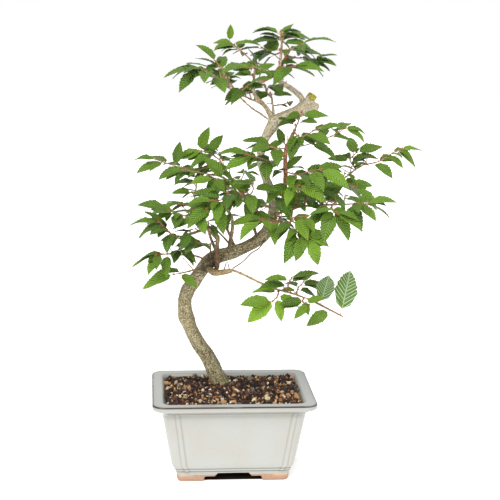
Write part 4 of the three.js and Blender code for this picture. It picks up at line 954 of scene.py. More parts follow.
Skin = Callable[[Array, Array, float], tuple[float, Colour]]


def plain_skin(tint: Colour) -> Skin:
    """A skin with no relief and one tint."""
    return lambda *_: (0.0, tint)


def twig_skin(place: Array, _: Array, __: float) -> tuple[float, Colour]:
    """The lift and tint of one point of a red-brown twig with small swellings."""
    rough = noise.noise(Vector(place.tolist()) * 0.6)
    # Its dips are drawn darker, as painted shade.
    return 0.12 * rough, (0.58 + 0.3 * rough, 0.26 + 0.3 * max(0.0, -rough), 0.3, 1.0)


@dataclass
class Stem:
    """A closed bent tube along a middle line, such as a trunk, a limb, a stalk or a bud."""

    points: Line
    sides: int
    spacing: float
    skin: Skin
    finish: int = 0
    tip: float = 0.8

    def rings(self) -> Array:
        """Spaces the rings from a flat start to a rounded tip.

        Returns:
            One row of x, y, z and radius for each.
        """
        rows = smooth_rows(self.points, self.spacing)
        start = rows[0].copy()
        start[3] = 0.0
        along = unit((rows[-1] - rows[-2])[:3])
        radius = rows[-1][3]
        cap = []
        for angle in (0.5, 1.05, math.pi / 2):
            ring = rows[-1].copy()
            ring[:3] += along * radius * self.tip * math.sin(angle)
            ring[3] = radius * math.cos(angle) if angle < 1.5 else 0.0
            cap.append(ring)
        return np.vstack([start, rows, np.array(cap)])

    def add(self, bm: BMesh, maker: Maker) -> None:
        """Bends a grid round the middle line and closes it.

        Args:
            bm: The mesh that it is added to.
            maker: Places its millimetres in the frame.
        """
        rows = self.rings()
        layer = bm.verts.layers.float_color["tint"]
        made = add_grid(bm, self.sides, len(rows) - 1)
        centres = rows[:, :3]
        ways = np.gradient(centres, axis=0)
        gaps = np.linalg.norm(np.diff(centres, axis=0), axis=1)
        travelled = np.concatenate([[0.0], np.cumsum(gaps)])
        across = np.array([0.0, 1.0, 0.0])
        if abs(unit(ways[1])[1]) > 0.9:
            across = np.array([1.0, 0.0, 0.0])
        frames = []
        for index in range(len(rows)):
            way = ways[index] if ways[index] @ ways[index] > 1e-12 else ways[index + 1]
            along = unit(way)
            across = unit(across - along * float(across @ along))
            frames.append((across.copy(), np.cross(along, across)))
        for vert, column, row in made:
            angle = 2 * math.pi * (column % self.sides) / self.sides
            first, third = frames[row]
            outward = first * math.cos(angle) + third * math.sin(angle)
            radius = rows[row][3]
            place = centres[row] + outward * radius
            lift, tint = self.skin(place, outward, float(travelled[row]))
            place = place + outward * lift * (1.0 if radius > 0 else 0.0)
            vert.co = maker.at(place)
            vert[layer] = tint
        for face in {face for vert, _, _ in made for face in vert.link_faces}:
            face.material_index = self.finish
        bmesh.ops.remove_doubles(bm, verts=[vert for vert, _, _ in made], dist=SEAM)


@dataclass(frozen=True)
class Lump:
    """A swelling of the trunk, or a hollow where its height is below zero."""

    place: tuple[float, float, float]
    size: float
    height: float
    # How much it darkens the bark; in a hollow this is painted shade.
    dark: float = 0.0


@dataclass
class Wood:
    """Trunk and limbs with their bark."""

    maker: Maker
    bark: Material
    mossy: Material
    bud: Material
    stub_growth: float = 1.24
    trunk_sides: int = 44
    trunk_spacing: float = 1.5
    limb_sides: int = 12
    limb_spacing: float = 1.6
    flute: float = 1.5
    ripple: float = 0.45
    collar: float = 0.55
    collar_reach: float = 1.9
    shaded_side: float = 0.34
    node_pitch: float = 15.0
    node_half: float = 1.6
    node_rise: float = 0.3
    # Darkened hollows are painted shade; the dark patches round the bend are darker bark.
    lumps: tuple[Lump, ...] = tuple(Lump(*row) for row in (
        ((-66.0, 8.0, 197.0), 8.0, 2.6), ((-43.0, 12.0, 200.0), 7.0, 2.4),
        ((-47.5, -1.0, 242.0), 6.0, 1.6), ((-47.5, -4.0, 241.5), 2.6, -4.2, 1.0),
        ((-56.5, -1.5, 231.0), 2.2, -2.6, 1.0), ((-60.0, 2.0, 255.0), 6.0, 1.4),
        ((-31.0, -6.0, 284.0), 6.0, 1.8, 0.5), ((-25.0, -6.0, 272.0), 2.6, -2.2, 1.4),
        ((-31.0, -6.0, 270.0), 2.4, -1.6, 1.2), ((-37.0, -4.0, 266.0), 2.6, -1.2, 1.0),
        ((-28.0, -5.0, 278.0), 6.0, 0.8, 0.6), ((-36.0, -6.0, 270.0), 9.0, 0.2, 0.42),
        ((-15.0, -2.0, 283.0), 6.0, 0.4, 0.35), ((-22.0, 8.0, 271.0), 6.0, 1.5),
        ((-20.0, 20.0, 131.0), 8.0, 1.2), ((-48.0, 10.0, 175.0), 8.0, 1.2),
        ((98.0, 0.0, 463.0), 7.0, 1.5), ((48.0, 0.0, 439.0), 7.0, 1.4),
        ((42.0, 4.0, 333.0), 6.0, 1.4),
    ))

    def trunk_skin(self) -> Skin:
        """Gives the trunk its flutes, swellings, hollows and limb collars.

        Returns:
            The skin.
        """
        collars = []
        rows = smooth_rows(TRUNK, 3.0)
        for limb in LIMBS.values():
            first = np.array(limb[0])
            gaps = np.linalg.norm(rows[:, :3] - first[:3], axis=1)
            radius = float(rows[int(gaps.argmin())][3])
            if float(gaps.min()) < radius + 2.0:
                way = unit((np.array(limb[1]) - first)[:3])
                collars.append((first[:3] + way * radius, first[3]))

        def skin(place: Array, outward: Array, along: float) -> tuple[float, Colour]:
            """Skins one point of the trunk.

            Args:
                place: The point.
                outward: The way out of the wood.
                along: How far up the trunk it is.

            Returns:
                Its lift and tint.
            """
            spot = Vector(place.tolist())
            flutes = noise.noise(Vector((outward * 1.7).tolist()) + Vector((0, 0, along * 0.018)))
            ripple = noise.noise(Vector((outward * 4.2).tolist()) + Vector((5, 3, along * 0.05)))
            rough = noise.noise(spot * 0.35)
            fine = noise.noise(spot * 0.9)
            lift = self.flute * flutes + self.ripple * ripple + 0.35 * rough + 0.16 * fine
            # Painted shade in the hollows of the flutes and ripples.
            shade = 0.35 * max(0.0, -ripple) + 0.2 * max(0.0, -flutes)
            for lump in self.lumps:
                away = float(np.linalg.norm(place - np.array(lump.place)))
                share = math.exp(-(away / lump.size) ** 2)
                lift += lump.height * share
                shade += lump.dark * share
            for middle, radius in collars:
                away = float(np.linalg.norm(place - middle))
                share = math.exp(-(away / (radius * self.collar_reach)) ** 2)
                lift += self.collar * radius * share
                # Painted shade at the collars, where the limbs join.
                shade += 0.12 * share
            flare = smooth(131.0, 103.0, float(place[2]))
            lift += flare * (0.9 + 1.3 * max(0.0, ripple))
            high = smooth(303.0, 473.0, float(place[2]))
            # Painted shade on the trunk's right side, away from the key light, less so high up.
            shade += self.shaded_side * smooth(0.1, 0.95, float(outward[0])) * (1 - 0.7 * high)
            return lift, (0.1 * high, min(shade, 0.9), 0.14 + 0.12 * flutes + 0.1 * high, 1.0)
        return skin

    def limb_skin(self, name: str) -> Skin:
        """Bark of one limb, with swollen nodes and its youth.

        Args:
            name: The limb's name.

        Returns:
            The skin.
        """
        youth = SHOOT_TINT.get(name, USUAL_TINT)
        tan = TAN_TINT.get(name, USUAL_TAN)
        foot_shade = FOOT_SHADE.get(name, 0.0)
        offset = sum(map(ord, name)) % 11

        def skin(place: Array, _: Array, along: float) -> tuple[float, Colour]:
            """Skins one point of the limb.

            Args:
                place: The point.
                _: The way out, which changes nothing.
                along: How far along the limb it is.

            Returns:
                Its lift and tint.
            """
            spot = Vector(place.tolist())
            rough = noise.noise(spot * 0.45)
            fine = noise.noise(spot * 1.3)
            phase = ((along + offset) / self.node_pitch) % 1.0
            node = math.exp(-((phase - 0.5) * self.node_pitch / self.node_half) ** 2)
            lift = 0.28 * rough + 0.1 * fine + self.node_rise * node
            aged = youth * smooth(0.0, 22.0, along) + 0.1 * rough
            # Darker at the swollen nodes; painted shade in the bark's dips and near the foot of a limb
            # in the crown.
            shade = 0.3 * max(0.0, -rough) + 0.2 * node + foot_shade * smooth(50.0, 10.0, along)
            return lift, (min(max(aged, 0.0), 1.0), shade, max(0.0, tan + 0.3 * rough), 1.0)
        return skin

    def slimmed(self, name: str) -> Line:
        """A limb's middle line with the thin radii of the real twigs.

        Args:
            name: The limb's name.

        Returns:
            The line.
        """
        low = SLIM.get(name, USUAL_SLIM)
        high = THINNED.get(name, 1.0)
        return [
            [x, y, z, radius * (low + (high - low) * smooth(2.4, 4.6, radius))]
            for x, y, z, radius in LIMBS[name]
        ]

    def twiglets(self, bm: BMesh) -> None:
        """Adds short bare side shoots with a bud at the tip.

        Args:
            bm: The limbs' mesh.
        """
        draw = random.Random(71)
        for name, limb in LIMBS.items():
            if name == "stub":
                continue
            rows = smooth_rows(limb, 4.0)
            for _ in range(max(1, len(rows) // 9)):
                row = rows[draw.randrange(len(rows) // 3, len(rows))]
                start = row[:3]
                sideways = [draw.uniform(-1, 1), draw.uniform(-1, 1)]
                way = unit(np.array([*sideways, draw.uniform(-0.1, 1)]))
                length = draw.uniform(7.0, 17.0)
                bend = unit(np.array([draw.uniform(-1, 1), draw.uniform(-1, 1), 0.4])) * length * 0.25
                points = [
                    [*start, 0.75], [*(start + way * length * 0.5 + bend * 0.3), 0.62],
                    [*(start + way * length + bend), 0.5],
                ]
                Stem(points, 6, 2.5, plain_skin((0.85, 0.1, 0.1, 1.0))).add(bm, self.maker)
                add_bud(bm, np.array(points[-1][:3]), way, 3.2, self.maker, 1)

    def build(self) -> None:
        """Makes the trunk and the limbs."""
        bm = tinted_mesh()
        trunk = Stem(TRUNK, self.trunk_sides, self.trunk_spacing, self.trunk_skin(), tip=0.9)
        trunk.add(bm, self.maker)
        self.maker.piece("trunk_bark", bm, [self.bark], "bark", ["trunk"])
        bm = tinted_mesh()
        for name in LIMBS:
            if name != "stub":
                line = self.slimmed(name)
                skin = self.limb_skin(name)
                Stem(line, self.limb_sides, self.limb_spacing, skin).add(bm, self.maker)
        self.twiglets(bm)
        self.maker.piece("limbs_bark", bm, [self.bark, self.bud], "bark")
        bm = tinted_mesh()
        for bare in BARE_STEMS:
            skin = plain_skin((bare.youth, bare.shade, bare.tan, 1.0))
            Stem(bare.line, 8, 2.0, skin).add(bm, self.maker)
        self.maker.piece("bare_stems", bm, [self.bark], "bark")
        bm = tinted_mesh()
        stub = [[x, y, z, radius * self.stub_growth] for x, y, z, radius in LIMBS["stub"]]
        Stem(stub, 16, 1.5, self.limb_skin("stub"), tip=0.12).add(bm, self.maker)
        below, end = np.array(stub[-2]), np.array(stub[-1])
        crown = [(end + (below - end) * 0.5).tolist(), (end + (end - below) * 0.06).tolist()]
        for row in crown:
            row[3] += 0.25
        Stem(crown, 16, 1.0, plain_skin((0.0, 0.0, 0.0, 1.0)), 1, 0.2).add(bm, self.maker)
        self.maker.piece("cut_stub", bm, [self.bark, self.mossy], "bark")


def add_bud(
    bm: BMesh, place: Array, way: Array, length: float, maker: Maker, finish: int,
) -> None:
    """Adds one pointed bud.

    Args:
        bm: The mesh that it is added to.
        place: Where it sits, in millimetres.
        way: The direction in which it points.
        length: Its length.
        maker: Places its millimetres in the frame.
        finish: Its material's number.
    """
    points = [
        [*(place - way * 0.5), length * 0.14], [*(place + way * length * 0.35), length * 0.24],
        [*(place + way * length * 0.85), length * 0.06],
    ]
    Stem(points, 6, length * 0.3, plain_skin((0.9, 0.0, 0.0, 1.0)), finish).add(bm, maker)


@dataclass(frozen=True)
class Leaf:
    """One hung leaf: where its stalk starts, how it lies and how it bends."""

    root: Array
    heading: Array
    normal: Array
    across: Array
    length: float
    bend: float
    fold: float

    def points(self, share: Array, side: Array, lift: Array) -> Array:
        """Places on or over the blade's middle surface.

        Args:
            share: Shares of the blade's length.
            side: Distances from the midrib, positive on the leaf's left.
            lift: Heights over the surface.

        Returns:
            One row for each place.
        """
        turn = self.bend * share
        reach = self.length / self.bend
        ahead = self.length * STALK_SHARE + reach * np.sin(turn)
        below = -reach * (1 - np.cos(turn))
        rise = np.abs(side) * math.sin(self.fold) + lift
        return (
            self.root
            + np.outer(ahead + rise * np.sin(turn), self.heading)
            + np.outer(below + rise * np.cos(turn), self.normal)
            + np.outer(side * math.cos(self.fold), self.across)
        )

    def samples(self) -> Array:
        """Finds the places that are kept clear of the wood and of other leaves.

        Returns:
            One row for each place.
        """
        shares = []
        sides = []
        for share in GUARD_ROWS:
            half = self.length * LEAF_HALF * math.sqrt(math.sin(math.pi * share ** BLADE_POWER))
            for column in GUARD_COLUMNS:
                shares.append(share)
                sides.append(half * column)
        shares.append(1.0)
        sides.append(0.0)
        return self.points(np.array(shares), np.array(sides), np.zeros(len(shares)))


@dataclass(frozen=True)
class Pose:
    """How one leaf was drawn before it is turned clear of the rest, with its angles in radians."""

    up: Array
    aim: list[float] | None
    droop: float
    roll: float
    length: float
    bend: float
    fold: float
    level: float = 1.0

    def leaf(
        self, place: Array, along: Array, side: int, spread: float,
        turn: Sequence[float], shrink: float,
    ) -> Leaf:
        """The leaf at one place of a twig.

        Args:
            place: Where its stalk starts.
            along: The twig's direction there.
            side: 1 or -1 for the twig's side.
            spread: Its angle from the twig.
            turn: Changes of droop, roll and heading in degrees.
            shrink: The share of its length that is kept.

        Returns:
            The leaf.
        """
        droop, roll, heading = turn
        if self.aim:
            headed = unit(np.array(self.aim[:3], dtype=float))
            headed = unit(headed + np.array([0.0, 0.0, -math.tan(droop * AIM_DROOP * DEGREE)]))
            facing = np.array(self.aim[3:6], dtype=float)
            facing = unit(facing - headed * float(facing @ headed))
            facing = turned(facing, headed, roll * DEGREE)
        else:
            up = unit(self.up - along * float(self.up @ along))
            out = np.cross(along, up) * side
            angle = spread + heading * DEGREE
            level = along * math.cos(angle) + out * math.sin(angle)
            fall = self.droop + droop * DEGREE
            headed = level * math.cos(fall) + np.array([0.0, 0.0, -math.sin(fall)])
            headed = unit(headed * np.array([1.0, DEPTH_SHARE, self.level]))
            facing = unit(self.up - headed * float(self.up @ headed))
            facing = turned(facing, headed, self.roll + roll * DEGREE)
        across = np.cross(facing, headed)
        return Leaf(place, headed, facing, across, self.length * shrink, self.bend, self.fold)


class Guards:
    """Places that leaves keep clear of."""

    def __init__(self) -> None:
        """Starts with none."""
        self.rows = np.zeros((40000, 6))
        self.count = 0

    def add(self, places: Array, radii: Array | float, owner: int, wood: bool) -> None:
        """Keeps places clear.

        Args:
            places: Their rows of x, y and z.
            radii: The wood's radii there.
            owner: The spray's number, or -1 for the tree itself.
            wood: Whether they are wood and not leaves.
        """
        end = self.count + len(places)
        self.rows[self.count:end, :3] = places
        self.rows[self.count:end, 3] = radii
        self.rows[self.count:end, 4] = owner
        self.rows[self.count:end, 5] = float(wood)
        self.count = end

    def crowded(self, samples: Array, own: int, ease: float = 1.0) -> bool:
        """Whether a leaf comes too near.

        Args:
            samples: The leaf's places.
            own: Its spray's number.
            ease: The share of the usual gaps between leaves that is kept.

        Returns:
            True if it does.
        """
        rows = self.rows[:self.count]
        near = np.all(rows[:, :3] > samples.min(axis=0) - GUARD_REACH, axis=1)
        near &= np.all(rows[:, :3] < samples.max(axis=0) + GUARD_REACH, axis=1)
        near &= ~((rows[:, 4] == own) & (rows[:, 5] > 0.5))
        rows = rows[near]
        if not len(rows):
            return False
        wood = rows[:, 5] > 0.5
        gaps = np.where(rows[:, 4] == own, OWN_LEAF_GAP, OTHER_LEAF_GAP) * ease
        limits = np.where(wood, rows[:, 3] + WOOD_GAP * ease, gaps)
        away = samples[:, None, :] - rows[None, :, :3]
        away[:, :, 2] *= np.where(wood, 1.0, HEIGHT_WEIGHT)
        return bool((np.sum(away ** 2, axis=2) < limits ** 2).any())

    def seat(
        self, leaves: list[Leaf], tries: Iterable[Leaf], own: int, ease: float = 1.0,
    ) -> None:
        """Hangs the first of several tries at a leaf that comes too near to nothing.

        Args:
            leaves: The leaves that it joins.
            tries: The ways in which it could hang.
            own: Its spray's number.
            ease: The share of the usual gaps between leaves that is kept.
        """
        for leaf in tries:
            samples = leaf.samples()
            if not self.crowded(samples, own, ease):
                leaves.append(leaf)
                self.add(samples, 0.0, own, wood=False)
                return


def spot_on(points: Array, share: float) -> tuple[Array, float, Array]:
    """Finds a spot on a middle line that runs straight between its points.

    Args:
        points: The line's rows of x, y, z and radius.
        share: How far along it the spot is, from 0 to 1.

    Returns:
        The place, the radius and the direction there.
    """
    spans = len(points) - 1
    span = min(math.floor(share * spans), spans - 1)
    part = share * spans - span
    start, end = points[span], points[span + 1]
    place = start[:3] + (end[:3] - start[:3]) * part
    return place, float(start[3] * (1 - part) + end[3] * part), unit((end - start)[:3])


def draws_from(seed: int) -> Iterator[float]:
    """Draws a fixed sequence.

    Args:
        seed: What it starts from.

    Returns:
        Its numbers, each from 0 to 1.
    """
    state = seed
    while True:
        state = (state * 1664525 + 1013904223) % 4294967296
        yield state / 4294967296


@dataclass
class Spray:
    """A leafy twig with the leaves that were hung on it."""

    plan: SprayPlan
    number: int
    base: Array = field(init=False)
    twig: Array = field(init=False)
    leaves: list[Leaf] = field(default_factory=list)
    extras: list[Leaf] = field(default_factory=list)

    def __post_init__(self) -> None:
        """Finds where the twig leaves its limb."""
        limb = np.array(LIMBS[self.plan.limb], dtype=float)
        aim = np.array(self.plan.twig[0], dtype=float)
        steps = (len(limb) - 1) * 10
        nearest = None
        for step in range(steps + 1):
            place, radius, along = spot_on(limb, step / steps)
            distance = float(np.linalg.norm(place - aim))
            if nearest is None or distance < nearest[0] - 1e-6:
                nearest = (distance, place, radius, along, step == steps)
        _, place, radius, along, at_end = nearest
        way = unit(aim - place)
        reach = radius + FIT
        if at_end:
            cosine = float(way @ along)
            slope = math.sqrt(1 - min(cosine * cosine, 1)) / cosine
            reach = min(reach, TWIG_BASE * slope + FIT / cosine + 0.05)
        self.base = place
        points = [(place + way * reach).tolist(), *self.plan.twig]
        count = len(points) - 1
        self.twig = np.array([
            [*point, TWIG_BASE + (TWIG_TIP - TWIG_BASE) * index / count]
            for index, point in enumerate(points)
        ])

    @property
    def up(self) -> Array:
        """The spray's upper side, which leans towards the viewer."""
        lean = self.plan.lean * DEGREE
        return np.array([0.0, -math.sin(lean), math.cos(lean)])

    def hang(self, guards: Guards) -> None:
        """Hangs the leaves that the solids have.

        Args:
            guards: What they keep clear of, to which they are added.
        """
        plan = self.plan
        draw = draws_from(1000 + 37 * self.number)
        side = 1 if next(draw) < 0.5 else -1
        for order in range(plan.leaves):
            share = order / (plan.leaves - 1) if plan.leaves > 1 else 0.0
            place, _, along = spot_on(self.twig, plan.first + (LAST_LEAF - plan.first) * share)
            opening = BASE_SPREAD - SPREAD_LOSS * share * share
            spread = (opening + (next(draw) - 0.5) * SPREAD_VARIETY) * DEGREE
            aim = plan.aims.get(order)
            kept = aim[6] if aim and len(aim) > 6 else 1.0
            pose = Pose(
                self.up, aim,
                droop=(LEAST_DROOP + next(draw) * DROOP_VARIETY) * DEGREE,
                roll=(next(draw) - 0.5) * ROLL_VARIETY * DEGREE,
                length=plan.length * (LEAST_LENGTH + next(draw) * LENGTH_VARIETY) * kept,
                bend=(LEAST_BEND + next(draw) * BEND_VARIETY) * DEGREE,
                fold=(LEAST_FOLD + next(draw) * FOLD_VARIETY) * DEGREE,
            )
            tries = (
                pose.leaf(place, along, side, spread, turn, shrink)
                for shrink in SHRINKS for turn in TURNS)
            guards.seat(self.leaves, tries, self.number)
            side = -side

    def fill(self, guards: Guards, share: float) -> None:
        """Hangs smaller leaves between those of the solids.

        Args:
            guards: What they keep clear of.
            share: How many are tried, as a share of the first ones.
        """
        draw = random.Random(500 + self.number)
        for part, aim, length in PLACED.get(self.plan.name, ()):
            place, _, along = spot_on(self.twig, part)
            pose = Pose(
                self.up, aim, droop=0.0, roll=0.0, length=length, bend=PLACED_BEND * DEGREE,
                fold=PLACED_FOLD * DEGREE)
            leaf = pose.leaf(place, along, 1, 0.0, TURNS[0], 1.0)
            self.extras.append(leaf)
            guards.add(leaf.samples(), 0.0, self.number, wood=False)
        for _ in range(round(self.plan.leaves * share)):
            place, _, along = spot_on(self.twig, draw.uniform(0.12, 1.0))
            pose = Pose(
                self.up, None, droop=draw.uniform(-8, 20) * DEGREE,
                roll=draw.uniform(-26, 26) * DEGREE,
                length=self.plan.length * draw.uniform(0.5, 0.9),
                bend=draw.uniform(24, 52) * DEGREE, fold=draw.uniform(8, 24) * DEGREE,
                level=SMALL_LEVEL)
            side = draw.choice((-1, 1))
            spread = draw.uniform(15, 75) * DEGREE
            tries = (pose.leaf(place, along, side, spread, turn, 1.0) for turn in TURNS)
            guards.seat(self.extras, tries, self.number, FILL_EASE)


def wood_rows(points: Array) -> Array:
    """Rows along a piece of wood, five to each span.

    Args:
        points: Its middle line.

    Returns:
        The place and the radius of each.
    """
    steps = (len(points) - 1) * 5
    rows = []
    for step in range(steps + 1):
        place, radius, _ = spot_on(points, step / steps)
        rows.append([*place, radius])
    return np.array(rows)


@dataclass
class ShortShoot:
    """A short leafy shoot that grows straight from a limb."""

    root: Array
    along: Array
    up: Array
    leaves: list[Leaf] = field(default_factory=list)
    tip: Array = field(init=False)

    def hang(self, guards: Guards, draw: random.Random) -> None:
        """Hangs three to five small leaves on it, as far as they find room.

        Args:
            guards: What they keep clear of.
            draw: The source of its variety.
        """
        way = unit(self.along * draw.uniform(0.2, 0.9) + self.up)
        length = draw.uniform(5.0, 12.0)
        self.tip = self.root + way * length
        for _ in range(draw.randrange(3, 6)):
            place = self.root + way * length * draw.uniform(0.6, 1.0)
            pose = Pose(
                self.up, None, droop=draw.uniform(-5, 20) * DEGREE,
                roll=draw.uniform(-25, 25) * DEGREE, length=draw.uniform(18.0, 28.0),
                bend=draw.uniform(24, 50) * DEGREE, fold=draw.uniform(8, 22) * DEGREE,
                level=SMALL_LEVEL)
            side = draw.choice((-1, 1))
            spread = draw.uniform(20, 80) * DEGREE
            tries = (
                pose.leaf(place, self.along, side, spread, turn, 1.0) for turn in SHOOT_TURNS)
            guards.seat(self.leaves, tries, SHOOT_OWNER, SHOOT_EASE)


@dataclass
class Foliage:
    """All leafy twigs."""

    maker: Maker
    upper: Material
    under: Material
    bark: Material
    bud: Material
    rows: int = 14
    thickness: float = 0.26
    blade_half: float = 0.245
    tooth: float = 0.07
    pleat: float = 0.35
    widest: float = 0.37
    foot_curve: float = 0.62
    tip_curve: float = 1.05
    extra_share: float = 1.1
    shoot_pitch: float = 12.0
    shoots_left_out: float = 0.25
    tip_play: float = 0.0012
    stalk_sag: float = 0.35
    shoots: dict[str, list[ShortShoot]] = field(default_factory=dict)

    def grow(self) -> list[Spray]:
        """Hangs every leaf clear of the wood and of its neighbours.

        Returns:
            The leafy twigs.
        """
        guards = Guards()
        for points in (TRUNK, *LIMBS.values()):
            rows = wood_rows(np.array(points, dtype=float))
            guards.add(rows[:, :3], rows[:, 3], -1, wood=True)
        sprays = [Spray(plan, number) for number, plan in enumerate(SPRAYS)]
        for spray in sprays:
            rows = wood_rows(spray.twig)
            guards.add(rows[:, :3], rows[:, 3], spray.number, wood=True)
        for spray in sprays:
            spray.hang(guards)
        for spray in sprays:
            spray.fill(guards, FILL.get(spray.plan.name, self.extra_share))
        self.grow_shoots(guards)
        return sprays

    def grow_shoots(self, guards: Guards) -> None:
        """Grows small leafy shoots straight from the limbs.

        Args:
            guards: What their leaves keep clear of.
        """
        draw = random.Random(310)
        for name, limb in LIMBS.items():
            rows = smooth_rows(limb, self.shoot_pitch)
            start = round(len(rows) * SHOOT_START.get(name, USUAL_START))
            for index in range(start, len(rows)):
                if draw.random() < self.shoots_left_out:
                    continue
                along = unit((rows[index] - rows[index - 1])[:3])
                up = unit(np.array([draw.uniform(-0.6, 0.6), draw.uniform(-0.9, 0.3), 1.0]))
                shoot = ShortShoot(rows[index][:3], along, up)
                shoot.hang(guards, draw)
                if shoot.leaves:
                    self.shoots.setdefault(name, []).append(shoot)

    def half_width(self, share: float) -> float:
        """Half of the blade's width at one place.

        Args:
            share: The place, as a share of the blade's length.

        Returns:
            The half width, as a share of the length too.
        """
        peak = self.widest ** self.foot_curve * (1 - self.widest) ** self.tip_curve
        inside = min(max(share, 0.0), 1.0)
        width = inside ** self.foot_curve * (1 - inside) ** self.tip_curve / peak
        return self.blade_half * max(width, 0.03)

    def margin(self, share: float) -> float:
        """Follows a vein to the margin.

        Args:
            share: Where it leaves the midrib, as a share of the length.

        Returns:
            Where it meets the margin, as such a share.
        """
        slant = VEIN_SLANT * smooth(0.0, 0.3, share)
        reach = share
        for _ in range(5):
            reach = min(share + slant * self.half_width(reach), 1.0)
        return reach if share < 1 else 1.0

    def add_leaf(
        self, bm: BMesh, leaf: Leaf, tint: Colour, draw: random.Random,
    ) -> list[bmesh.types.BMFace]:
        """Adds one blade as a sheet whose rows follow its veins.

        Args:
            bm: The spray's mesh.
            leaf: How the leaf hangs.
            tint: Its youth, chance tone and blemish.
            draw: The source of its small irregularities.

        Returns:
            The blade's faces.
        """
        layer = bm.verts.layers.float_color["tint"]
        uv_layer = bm.loops.layers.uv["UVMap"]
        made = add_grid(bm, 2, self.rows)
        wave = draw.uniform(0, 6.28)
        depth = draw.uniform(0.006, 0.025) * leaf.length
        shares = []
        sides = []
        lifts = []
        for _, column, row in made:
            side = column - 1
            share = row / self.rows
            half = 0.0
            lift = 0.0
            if side:
                share = self.margin(share)
                half = self.half_width(share) * leaf.length
                if 0 < row < self.rows:
                    sign = 1 if row % 2 else -1
                    half *= 1 + self.tooth * sign
                    lift = depth * math.sin(wave + share * 8 + side) + self.pleat * sign * 0.5
            shares.append(share)
            sides.append(-side * half)
            lifts.append(lift)
        places = leaf.points(np.array(shares), np.array(sides), np.array(lifts))
        flat = {}
        for index, (vert, _, _) in enumerate(made):
            vert.co = self.maker.at(places[index])
            vert[layer] = tint
            flat[vert] = (0.5 + sides[index] / leaf.length, shares[index])
        faces = list({face for vert in flat for face in vert.link_faces})
        for face in faces:
            for loop in face.loops:
                loop[uv_layer].uv = flat[loop.vert]
        return faces

    def add_stalk(self, bm: BMesh, leaf: Leaf) -> None:
        """Adds a leaf's stalk and the bud at its foot.

        Args:
            bm: The spray's mesh.
            leaf: The leaf.
        """
        end = leaf.root + leaf.heading * leaf.length * (STALK_SHARE + 0.03)
        middle = (leaf.root + end) / 2 - np.array([0.0, 0.0, self.stalk_sag])
        points = [[*leaf.root, 0.5], [*middle, 0.36], [*end, 0.3]]
        Stem(points, 5, 3.0, plain_skin((0.45, 0.0, 0.5, 1.0)), 2).add(bm, self.maker)
        way = unit(leaf.heading + np.array([0.0, 0.0, 0.9]))
        add_bud(bm, leaf.root + way * 0.9, way, 2.4, self.maker, 3)

    def build_spray(self, spray: Spray) -> None:
        """Makes one spray's twig, buds, stalks and leaves.

        Args:
            spray: The spray.
        """
        bm = tinted_mesh()
        draw = random.Random(900 + spray.number)
        youth = YOUTH.get(spray.plan.name, USUAL_YOUTH)
        ages = LEAF_YOUTH.get(spray.plan.name, ())
        blades = []
        leaves = [*spray.leaves, *spray.extras]
        total = len(spray.leaves)
        for order, leaf in enumerate(leaves):
            share = order / max(total - 1, 1) if order < total else 0.8
            young = min(max(youth * (0.55 + 0.6 * share) + draw.uniform(-0.18, 0.18), 0.0), 1.0)
            if order < len(ages):
                young = ages[order]
            blemish = 1.0 if draw.random() < 0.12 else 0.0
            blades += self.add_leaf(bm, leaf, (young, draw.random(), blemish, 1.0), draw)
        self.thicken(bm, blades)
        for leaf in leaves:
            self.add_stalk(bm, leaf)
        points = [[*spray.base, 1.05], *spray.twig.tolist()]
        for index, point in enumerate(points[1:]):
            share = index / (len(points) - 2)
            point[3] = (0.95 - 0.35 * share) * THICKER.get(spray.plan.name, 1.0)
        Stem(points, 8, 2.2, twig_skin, 2).add(bm, self.maker)
        tip = np.array(points[-1][:3])
        way = unit(tip - np.array(points[-2][:3]))
        add_bud(bm, tip, way, 4.2, self.maker, 3)
        self.maker.piece(
            f"{spray.plan.name}_spray", bm, [self.upper, self.under, self.bark, self.bud],
            "foliage", [spray.plan.name])

    def build_shoots(self, name: str, shoots: list[ShortShoot]) -> None:
        """Makes one limb's short shoots.

        Args:
            name: The limb's name.
            shoots: Its shoots.
        """
        bm = tinted_mesh()
        draw = random.Random(sum(map(ord, name)))
        blades = []
        leaves = [leaf for shoot in shoots for leaf in shoot.leaves]
        for leaf in leaves:
            tint = (draw.uniform(0.0, 0.55), draw.random(), float(draw.random() < 0.1), 1.0)
            blades += self.add_leaf(bm, leaf, tint, draw)
        self.thicken(bm, blades)
        for leaf in leaves:
            self.add_stalk(bm, leaf)
        for shoot in shoots:
            way = unit(shoot.tip - shoot.root)
            middle = (shoot.root + shoot.tip) / 2 + np.array([0.3, -0.3, 0.0])
            points = [[*shoot.root, 0.9], [*middle, 0.8], [*shoot.tip, 0.65]]
            Stem(points, 6, 3.0, twig_skin, 2).add(bm, self.maker)
            add_bud(bm, shoot.tip, way, 3.4, self.maker, 3)
        self.maker.piece(
            f"{name}_shoots", bm, [self.upper, self.under, self.bark, self.bud], "foliage")

    def thicken(self, bm: BMesh, blades: list[bmesh.types.BMFace]) -> None:
        """Gives the blades their thickness, a pale under side and a sharp margin.

        Args:
            bm: The spray's mesh.
            blades: The blades' upper faces.
        """
        upper = set(blades)
        bmesh.ops.solidify(bm, geom=blades, thickness=self.thickness * MM)
        for face in set(bm.faces) - upper:
            rim = any(other in upper for edge in face.edges for other in edge.link_faces)
            face.material_index = 0 if rim else 1
            if rim:
                for edge in face.edges:
                    edge.smooth = False

